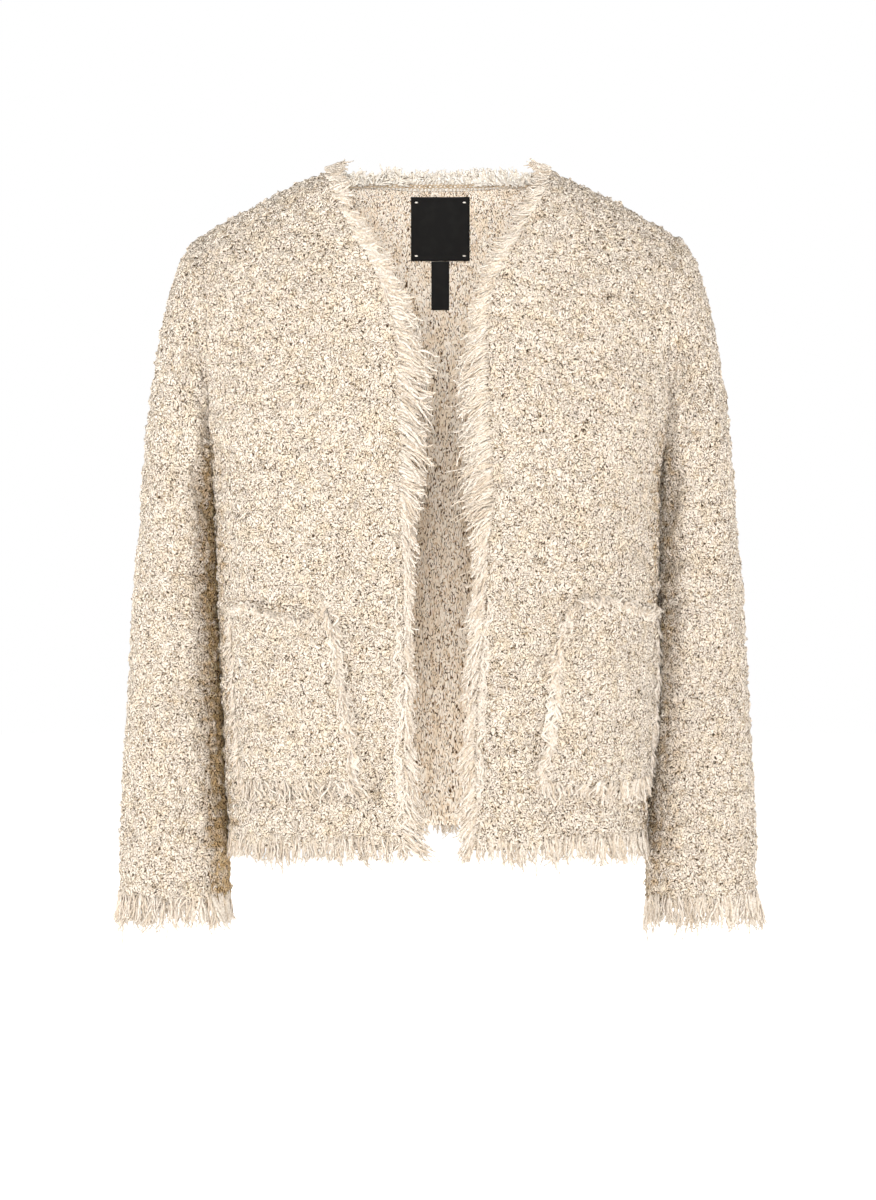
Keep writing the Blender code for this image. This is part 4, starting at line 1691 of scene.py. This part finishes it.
@dataclass
class Fringes:
    """Every fringe of loose yarn ends: fronts, hems, cuffs, back neck and pockets."""

    body: JacketBody
    sleeves: Sleeves
    pockets: Pockets
    finish: Material
    neck_finish: Material
    hem: Ends = Ends(
        11.0, 0.7, points=7, hook=0.9, wave=0.5, stray=0.1, stack=2.0, rest=1.4, gather=0.3)
    back_hem: Ends = Ends(
        9.0, 0.8, points=7, hook=0.8, wave=0.5, stray=0.1, stack=2.0, rest=1.4)
    cuff: Ends = Ends(
        17.0, 0.68, hook=0.8, wave=0.45, stray=0.08, stack=2.0, rest=1.0, gather=0.3)
    front: Ends = Ends(
        20.0, 0.56, points=9, thickness=1.12, comb=0.15, own_lean=0.13, droop=0.5,
        wave=0.34, uneven=0.17, hook=0.85, lock=8.0, stack=1.8, rest=1.3, gather=0.35,
        beads=0.32)
    neckline: Ends = Ends(
        9.0, 0.5, points=7, comb=0.35, own_lean=0.4, droop=0.2, hook=0.8, lock=8.0,
        stack=2.0)
    neck: Ends = Ends(
        4.4, 0.6, points=7, thickness=1.15, comb=0.6, own_lean=0.6, lift=0.25, droop=0.3,
        wave=0.7, hook=1.3, uneven=0.4, lock=11.0, gather=0.6, beads=0.25)
    pocket_top: Ends = Ends(
        6.5, 0.7, points=7, thickness=1.1, comb=0.6, own_lean=0.6, lift=0.3, droop=0.7,
        wave=0.6, hook=1.0, lock=8.0, beads=0.28)
    pocket_inner: Ends = Ends(
        9.0, 1.2, thickness=1.3, comb=0.45, own_lean=0.35, lift=0.15, droop=0.5, wave=0.5,
        beads=0.28)
    pocket_outer: Ends = Ends(
        6.5, 0.8, points=7, thickness=1.15, comb=0.5, own_lean=0.5, lift=0.05, droop=0.8,
        wave=0.5, lock=8.0)
    pocket_bottom: Ends = Ends(
        10.0, 0.9, thickness=1.2, comb=0.45, own_lean=0.45, uneven=0.35, wave=0.8, hook=1.1,
        beads=0.28)
    front_rolls: Rolls = Rolls(
        6.5, (24.0, 60.0), 14, 0.85, wander=2.4, rise=1.2, tone=0.15)
    front_rolls_below: float = 350.0
    front_inset: float = 9.0
    hem_inset: float = 11.0
    pocket_inset: float = 4.0
    pocket_bottom_inset: float = 7.0
    neck_insets: Pair = (4.0, 5.0)
    seed: int = 200
    back_seed: int = 230

    def finished(self, parts: MeshParts, name: str, *nodes: str,
                 finish: Material | None = None) -> None:
        """Makes one fringe's object in place of its solids."""
        attach(parts.make_yarn(name, finish or self.finish), "fringe_yarn", *nodes)

    def build_front(self, side: Side, rng: Draws) -> None:
        """The long fringe along a neckline and down a front's edge."""
        patch = self.body.patches["front_" + side.name][0]
        level = patch.level[:, 0]
        fringe = self.body.form.at(level)["fringe_" + side.name]
        slope = np.clip((0.95 * fringe + 1.5) / self.front.length, 0.2, 0.9)
        edge, normal = patch.outer[:, 0], patch.normals[:, 0]
        inward = unit(patch.points[:, 0] - patch.points[:, 3])
        down = unit(np.gradient(patch.points[:, 0], axis=0))
        down = unit(down - inward * np.sum(down * inward, axis=1, keepdims=True))
        way = inward * slope[:, None] + down * np.sqrt(1 - slope ** 2)[:, None]
        parts = MeshParts()
        start = (edge + patch.points[:, 0]) * 0.5
        left = (edge[:, 2] - edge[-1, 2] + 16) / self.front.length
        full = np.clip((level - 3.0) / 2.5, 0.35, 1.0) * np.clip(left, 0.5, 1.0)
        full = full * np.interp(fringe, (7.0, 20.0), (0.45, 1.0))
        low = level > 3.2
        self.front.grow(parts, start[low], way[low], normal[low], rng, full[low],
                        inset=self.front_inset)
        high = (level > 0.12) & (level < 5.4)
        fall = np.clip(0.28 + 0.2 * level, 0.3, 0.6)[:, None]
        way = unit(inward * np.array((1.0, 1.0, 0.3)) + fall * down)
        full = np.interp(level[high], (0.3, 1.0, 2.0, 3.0), (1.2, 0.8, 0.8, 1.0))
        self.neckline.grow(parts, start[high], way[high], normal[high], rng, full,
                           inset=self.front_inset)
        below = -edge[:, 2] > self.front_rolls_below
        self.front_rolls.grow(parts, patch.outer[below, 3], patch.normals[below, 3], rng)
        self.finished(parts, "ends_front_" + side.name, "fringe_front_" + side.name)

    def build_hem(self, place: str, ends: Ends, patches: Sequence[Patch],
                  rng: Draws) -> None:
        """A fringe that hangs from a hem or cuff."""
        parts = MeshParts()
        for patch in patches:
            edge, normal = patch.outer[-1], patch.normals[-1]
            if patch.closed:
                edge, normal = ring_closed(edge), ring_closed(normal)
            ends.grow(parts, edge + UP - normal, np.broadcast_to(DOWN, edge.shape), normal,
                      rng, inset=self.hem_inset)
        self.finished(parts, "ends_" + place, "fringe_" + place)

    def build_neck(self, rng: Draws) -> None:
        """Short tufts that stand on the back neck's edge."""
        parts = MeshParts()
        meet = self.body.meet_row
        rows = slice(meet // 6, meet + 1)
        part = np.linspace(0, 1, meet + 1)[rows]
        full = np.interp(part, (0.15, 0.3, 0.5, 0.7, 0.9), (0.5, 0.8, 1.5, 1.3, 0.9))
        for patch in self.body.patches["back"]:
            normal = patch.normals[rows, 0]
            inward = unit(patch.points[rows, 0] - patch.points[rows, 3])
            way = unit(UP * 0.8 + inward * 0.5)
            for face, away, inset in zip((patch.outer, patch.inner), (normal, -normal),
                                         self.neck_insets):
                self.neck.grow(parts, face[rows, 0], way, away, rng, full, inset=inset)
        self.finished(parts, "ends_back_neck", "fringe_back_neck", finish=self.neck_finish)

    def build_pocket(self, side: Side, rng: Draws) -> None:
        """The fringe on a pocket's four sides, fuller on the wearer's left pocket."""
        patch = self.pockets.patches[side.name]
        outer, normal = patch.outer, patch.normals
        across = unit(patch.points[:, -1] - patch.points[:, 0])
        down = unit(patch.points[-1] - patch.points[0])
        left = side.sign > 0
        parts = MeshParts()
        place = np.linspace(0, 10, len(down))
        calm = np.clip(np.minimum(place, 10 - place), 0.3, 1) * (1.0 if left else 0.6)
        self.pocket_top.grow(parts, outer[0], -down, normal[0], rng, calm,
                             inset=self.pocket_inset)
        self.pocket_bottom.grow(parts, outer[-1], down, normal[-1], rng,
                                np.clip((10 - place) * 0.8, 0.3, 1),
                                inset=self.pocket_bottom_inset)
        for ends, column, way in ((self.pocket_inner, 0, DOWN * 0.8 - across * 0.45),
                                  (self.pocket_outer, -1, DOWN * 0.6 + across * 0.5)):
            ends.grow(parts, outer[:, column], way, normal[:, column], rng,
                      inset=self.pocket_inset)
        Rolls().grow(parts, outer[:, 0], normal[:, 0], rng)
        Rolls(3.8 if left else 14.0).grow(parts, outer[0], normal[0], rng)
        if left:
            Rolls(4.0).grow(parts, outer[:, -1], normal[:, -1], rng)
        self.finished(parts, "ends_pocket_" + side.name,
                      *(f"pocket_{side.name}_fringe_{edge}"
                        for edge in ("top", "bottom", "inner", "outer")))

    def build(self) -> None:
        """Makes every fringe."""
        for side in SIDES:
            rng = np.random.default_rng(self.seed + side.sign)
            self.build_front(side, rng)
            self.build_hem("hem_" + side.name, self.hem,
                           self.body.patches["front_" + side.name], rng)
            self.build_hem("cuff_" + side.name, self.cuff, [self.sleeves.patches[side.name]],
                           rng)
            self.build_pocket(side, rng)
        rng = np.random.default_rng(self.back_seed)
        self.build_hem("hem_back", self.back_hem, self.body.patches["back"], rng)
        self.build_neck(rng)


@dataclass
class NeckFinish:
    """The tape inside the back neck with its chain stitch, and the two bare labels."""

    form: BodyForm
    wall: float = 3.0
    layer_gap: float = 0.5
    tape_wall: float = 1.4
    tape_width: float = 14.0
    stitch_part: float = 0.63
    tape_columns: int = 121
    tape_rows: int = 9
    link_pitch: float = 4.3
    link_width: float = 2.6
    link_thickness: float = 0.5
    link_points: int = 12
    label_wall: float = 0.9
    label_rows: int = 33
    label_columns: int = 33
    label_width: float = 51.0
    label_x: float = 2.0
    label_heights: Pair = (-16.2, -68.7)
    label_border: float = 0.25
    label_bow: float = 0.9
    loop_columns: int = 17
    loop_width: float = 15.6
    loop_heights: Pair = (-69.2, -110.2)
    tack_inset: float = 4.6
    tack_radius: float = 0.75
    tack_scale: Triple = (1.9, 1.0, 0.9)

    def inside_patch(self, level: Array, x: Array, wall: float) -> Patch:
        """A thin layer that lies inside the back.

        Args:
            level: The levels of its grid.
            x: Their distances from the middle.
            wall: The layer's thickness.

        Returns:
            The layer, facing inwards.
        """
        points = self.form.point(level, x, Face.BACK)
        step = 0.04
        down = (self.form.point(level + step, x, Face.BACK)
                - self.form.point(np.maximum(level - step, 0.0), x, Face.BACK))
        across = (self.form.point(level, x + 1.0, Face.BACK)
                  - self.form.point(level, x - 1.0, Face.BACK))
        normals = turned_out(unit(np.cross(across, down)), points)
        points = points - normals * (self.wall + self.layer_gap)
        patch = Patch(points, -normals, flat_cut(points), level, x)
        flat = np.zeros(points.shape[:2])
        patch.dress(flat + wall, flat, wall, flat)
        return patch

    def build_tape(self, finish: Material, yarn: Material) -> None:
        """The tape around the back of the neck, and a chain stitch along its middle."""
        turn = np.linspace(-0.5 * np.pi, 0.5 * np.pi, self.tape_columns)[None]
        part = np.linspace(0, 1, self.tape_rows)[:, None]
        neck, low = self.form.neck_half_width, self.form.back_neck_level
        slope = np.linalg.norm(self.form.point(low + 1, 0.0, Face.BACK)
                               - self.form.point(low, 0.0, Face.BACK))
        width = neck + 1 + (self.tape_width - 1) * part
        level = low + 0.02 + (self.tape_width / slope - 0.02) * part
        patch = self.inside_patch(np.maximum(level * np.cos(turn), 0.0),
                                  width * np.sin(turn), self.tape_wall)
        tape = cloth_shell("neck_tape_knit", [patch], (finish, finish))
        row = int(self.stitch_part * (self.tape_rows - 1))
        stitches = self.chain_stitch(patch.outer[row], patch.normals[row], yarn)
        attach(tape, "neck_tape", "neck_tape")
        attach(stitches, "neck_tape")
        declare([patch])

    def chain_stitch(self, line: Array, normals: Array, yarn: Material) -> Piece:
        """A row of oval links.

        Args:
            line: The points that the row follows.
            normals: Direction away from the tape at each of them.
            yarn: Finish of the links.

        Returns:
            The links as one piece.
        """
        count = int(lengths_along(line)[-1] / self.link_pitch)
        known = evenly(np.hstack([line, normals]), (np.arange(count) + 0.5) / count)
        centre, away = known[:, :3], unit(known[:, 3:])
        along = unit(np.gradient(centre, axis=0))
        across = np.cross(away, along)
        turn = np.linspace(0, 2 * np.pi, self.link_points)[None, :, None]
        reach = 0.62 * self.link_pitch * np.cos(turn)
        side = 0.5 * self.link_width * np.sin(turn) * (1 - 0.45 * np.cos(turn))
        lines = (centre[:, None] + along[:, None] * reach + across[:, None] * side
                 + away[:, None] * (0.2 + 0.2 * np.cos(turn)))
        parts = MeshParts()
        yarn_tubes(parts, lines, np.full(lines.shape[:2], self.link_thickness), away,
                   np.abs(np.sin(2.4 * np.arange(count))), sides=4)
        return parts.make_yarn("neck_tape_stitches", yarn)

    def levels_at(self, heights: Array, x: Array) -> Array:
        """Levels at which the back's form has the given heights, column by column."""
        dense = np.linspace(0, self.form.hem_level, 1601)
        columns = [np.interp(-heights, -self.form.point(dense, value, Face.BACK)[:, 2], dense)
                   for value in x]
        return np.stack(columns, axis=-1)

    def build_label(self, name: str, node: str, width: float, heights: Pair, columns: int,
                    finish: Material) -> Patch:
        """One bare label: a thin sheet, a little bowed, with a thicker turned border.

        Args:
            name: The piece's name.
            node: The solid that it stands for.
            width: Its width.
            heights: Its upper and lower edge.
            columns: Number of points across it.
            finish: Its finish.

        Returns:
            Its patch.
        """
        over = np.linspace(-1, 1, columns)[None]
        down = np.linspace(-1, 1, self.label_rows)[:, None]
        x = self.label_x + over * width / 2
        level = self.levels_at(np.linspace(*heights, self.label_rows), x[0])
        patch = self.inside_patch(level, np.broadcast_to(x, level.shape), self.label_wall)
        border = ramp(np.maximum(np.abs(over), np.abs(down)), 0.9, 0.05)
        lift = self.label_border * border + self.label_bow * (1 - over ** 2) * (1 - down ** 2)
        flat = np.zeros_like(lift)
        patch.dress(lift + self.label_wall, flat, self.label_wall, flat)
        label = cloth_shell(name, [patch], (finish, finish))
        attach(label, "label_black", node)
        declare([patch])
        return patch

    def build_tacks(self, patch: Patch, yarn: Material) -> None:
        """Four short white stitches at the label's corners."""
        last = np.array(patch.points.shape[:2]) - 1.0
        inset = self.tack_inset / np.array((-patch.cut[-1, 0, 1], self.label_width))
        made = []
        for corner in itertools.product((0, 1), repeat=2):
            spot = np.where(corner, 1 - inset, inset) * last
            place = read_grid(patch.outer, spot[:1], spot[1:])[0]
            bpy.ops.object.select_all(action="DESELECT")
            bpy.ops.mesh.primitive_uv_sphere_add(
                segments=12, ring_count=8, radius=self.tack_radius * MM,
                location=tuple(place * MM), scale=self.tack_scale)
            bpy.ops.object.transform_apply(location=True, rotation=True, scale=True)
            bpy.ops.object.shade_smooth()
            made.append(bpy.context.object)
            made[-1].data.materials.append(yarn)
        for tack in made:
            tack.select_set(True)
        bpy.context.view_layer.objects.active = made[0]
        bpy.ops.object.join()
        made[0].name = made[0].data.name = "label_tacks"
        attach(made[0], "fringe_yarn")

    def build(self, tape: Material, stitch: Material, yarn: Material, label: Material) -> None:
        """Makes the tape, the stitches and the labels."""
        self.build_tape(tape, stitch)
        patch = self.build_label("main_label", "label", self.label_width, self.label_heights,
                                 self.label_columns, label)
        self.build_tacks(patch, yarn)
        self.build_label("loop_label", "label_loop", self.loop_width, self.loop_heights,
                         self.loop_columns, label)


# ---- studio


@dataclass(frozen=True)
class Lamp:
    """One soft light: a square panel, or a spot when it has a cone.

    Places are in metres, the size is a panel's side or a spot's radius, the power is in
    watts and the cone in degrees.
    """

    name: str
    place: Triple
    size: float
    power: float
    aim: Triple = (0.0, 0.0, -0.3)
    cone: float = 0.0

    def build(self) -> None:
        """Hangs the light and turns it to what it shines at."""
        data = bpy.data.lights.new(self.name, "SPOT" if self.cone else "AREA")
        data.energy = self.power
        if self.cone:
            data.spot_size, data.spot_blend = math.radians(self.cone), 1.0
            data.shadow_soft_size = self.size
        else:
            data.size = self.size
        lamp = linked(self.name, data)
        lamp.location = self.place
        x, y, z = np.subtract(self.aim, self.place)
        lamp.rotation_euler = (math.atan2(math.hypot(x, y), -z), 0.0, math.atan2(-x, y))


LAMPS = (
    Lamp("front", (-0.1, -2.75, -0.2), 0.5, 21.0),
    Lamp("key", (-1.6, -2.2, 1.5), 1.0, 4.2),
    Lamp("upper", (0.15, -2.3, 1.1), 0.8, 4.6),
    Lamp("lower", (0.1, -2.3, -0.8), 0.8, 8.2),
    Lamp("side_right", (-2.4, -1.3, -0.3), 1.0, 12.0),
    Lamp("side_left", (2.4, -1.3, -0.3), 1.0, 9.0),
    Lamp("neck", (0.0, -2.3, 0.25), 0.15, 84.0, (0.0, 0.05, -0.035), 11.5),
    Lamp("sleeve_right", (-0.7, -0.6, -0.34), 0.5, 2.6, (-0.25, 0.0, -0.36)),
    Lamp("sleeve_left", (0.7, -0.6, -0.34), 0.5, 2.0, (0.25, 0.0, -0.36)),
    Lamp("top", (0.3, 1.4, 2.2), 1.6, 11.0),
    Lamp("rear_left", (2.0, 2.4, 0.6), 1.4, 46.0),
    Lamp("rear_right", (-2.2, 2.0, 0.1), 1.4, 40.0),
)


@dataclass
class Studio:
    """A pale floor, soft lights and the camera, in metres."""

    camera_distance: float = 2.606
    camera_height: float = -0.363
    half_view: float = 0.504
    floor_height: float = -0.86
    floor_radius: float = 9.0
    surroundings: float = 0.55
    glow: Triple = (1.0, 0.98, 0.95)

    def build_floor(self) -> None:
        """The floor."""
        bpy.ops.object.select_all(action="DESELECT")
        bpy.ops.mesh.primitive_circle_add(vertices=96, radius=self.floor_radius,
                                          fill_type="NGON",
                                          location=(0, 0, self.floor_height))
        floor = bpy.context.object
        floor.name = floor.data.name = "studio_floor"
        floor.data.materials.append(FloorFinish("studio_floor").build())
        floor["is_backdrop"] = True

    def build_world(self) -> None:
        """White surroundings: plain to look at, dimmer and warmer as a light."""
        world = bpy.data.worlds.new("studio_white")
        bpy.context.scene.world = world
        nodes = NodeTree(world)
        seen = nodes.add("LightPath").outputs["Is Camera Ray"]
        strength = nodes.remap(seen, 0.0, 1.0, self.surroundings, 1.0, soft=False)
        colour = nodes.mix(seen, self.glow, (1, 1, 1))
        ground = nodes.add("Background", {"Color": colour, "Strength": strength})
        nodes.add("OutputWorld", {"Surface": ground.outputs[0]})

    def build_camera(self) -> None:
        """The camera, level and straight in front."""
        data = bpy.data.cameras.new("camera")
        data.lens = data.sensor_width / 2 * self.camera_distance / self.half_view
        camera = linked("camera", data)
        camera.location = (0.0, -self.camera_distance, self.camera_height)
        camera.rotation_euler = (math.pi / 2, 0.0, 0.0)
        bpy.context.scene.camera = camera

    def build(self) -> None:
        """Makes the whole studio."""
        self.build_floor()
        self.build_world()
        for lamp in LAMPS:
            lamp.build()
        self.build_camera()
        bpy.context.scene.view_settings.view_transform = "Standard"


def main() -> None:
    """Builds the jacket and its studio."""
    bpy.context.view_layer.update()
    log.info("solids in the frame: %d", len(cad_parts))
    # The reverse face: upright knit, painted far paler than the outer face as painted light for
    # the dim inside of the jacket.
    reverse = BoucleFinish("boucle_reverse", pale=(1.0, 0.94, 0.86), tawny=(0.95, 0.83, 0.68),
                           middle=(0.70, 0.55, 0.39), warm=(0.60, 0.42, 0.25),
                           gap=(0.11, 0.065, 0.035), strand=480.0, stretch=(1.3, 1.3, 0.45),
                           gap_level=0.53, crossing=0.3, relief=0.5).build()
    curl = YarnFinish("curl_yarn", pale=(0.832, 0.76, 0.682), warm=(0.75, 0.64, 0.51),
                      speck=(0.185, 0.132, 0.083), speckled=0.88, speck_scale=660.0).build()
    knit = Knit(BoucleFinish("boucle_knit").build(), reverse, curl)
    pocket_knit = Knit(BoucleFinish("pocket_knit").build(), reverse, curl)
    yarn = YarnFinish("fringe_yarn").build()
    # A paler copy of the fringe yarn: painted light for the dim back neck and the label's tacks.
    neck_yarn = YarnFinish("neck_yarn", pale=(0.97, 0.93, 0.87), warm=(0.88, 0.80, 0.69),
                           speckled=0.25).build()
    stitch = YarnFinish("stitch_yarn", pale=(0.72, 0.58, 0.42), warm=(0.52, 0.38, 0.23)).build()
    form, surface = BodyForm(), Surface()
    body = JacketBody(form, surface)
    body.build(knit)
    sleeves = Sleeves(form, SleeveForm(), surface)
    sleeves.build(knit)
    pockets = Pockets(body, surface)
    pockets.build(pocket_knit)
    Fringes(body, sleeves, pockets, yarn, neck_yarn).build()
    NeckFinish(form).build(TapeFinish("neck_tape").build(), stitch, neck_yarn,
                           LabelFinish("label_black").build())
    Studio().build()
    faces = sum(len(polygon.vertices) - 2 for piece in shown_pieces()
                for polygon in piece.data.polygons)
    log.info("triangles in all: %d", faces)


if __name__ == "__main__":
    main()
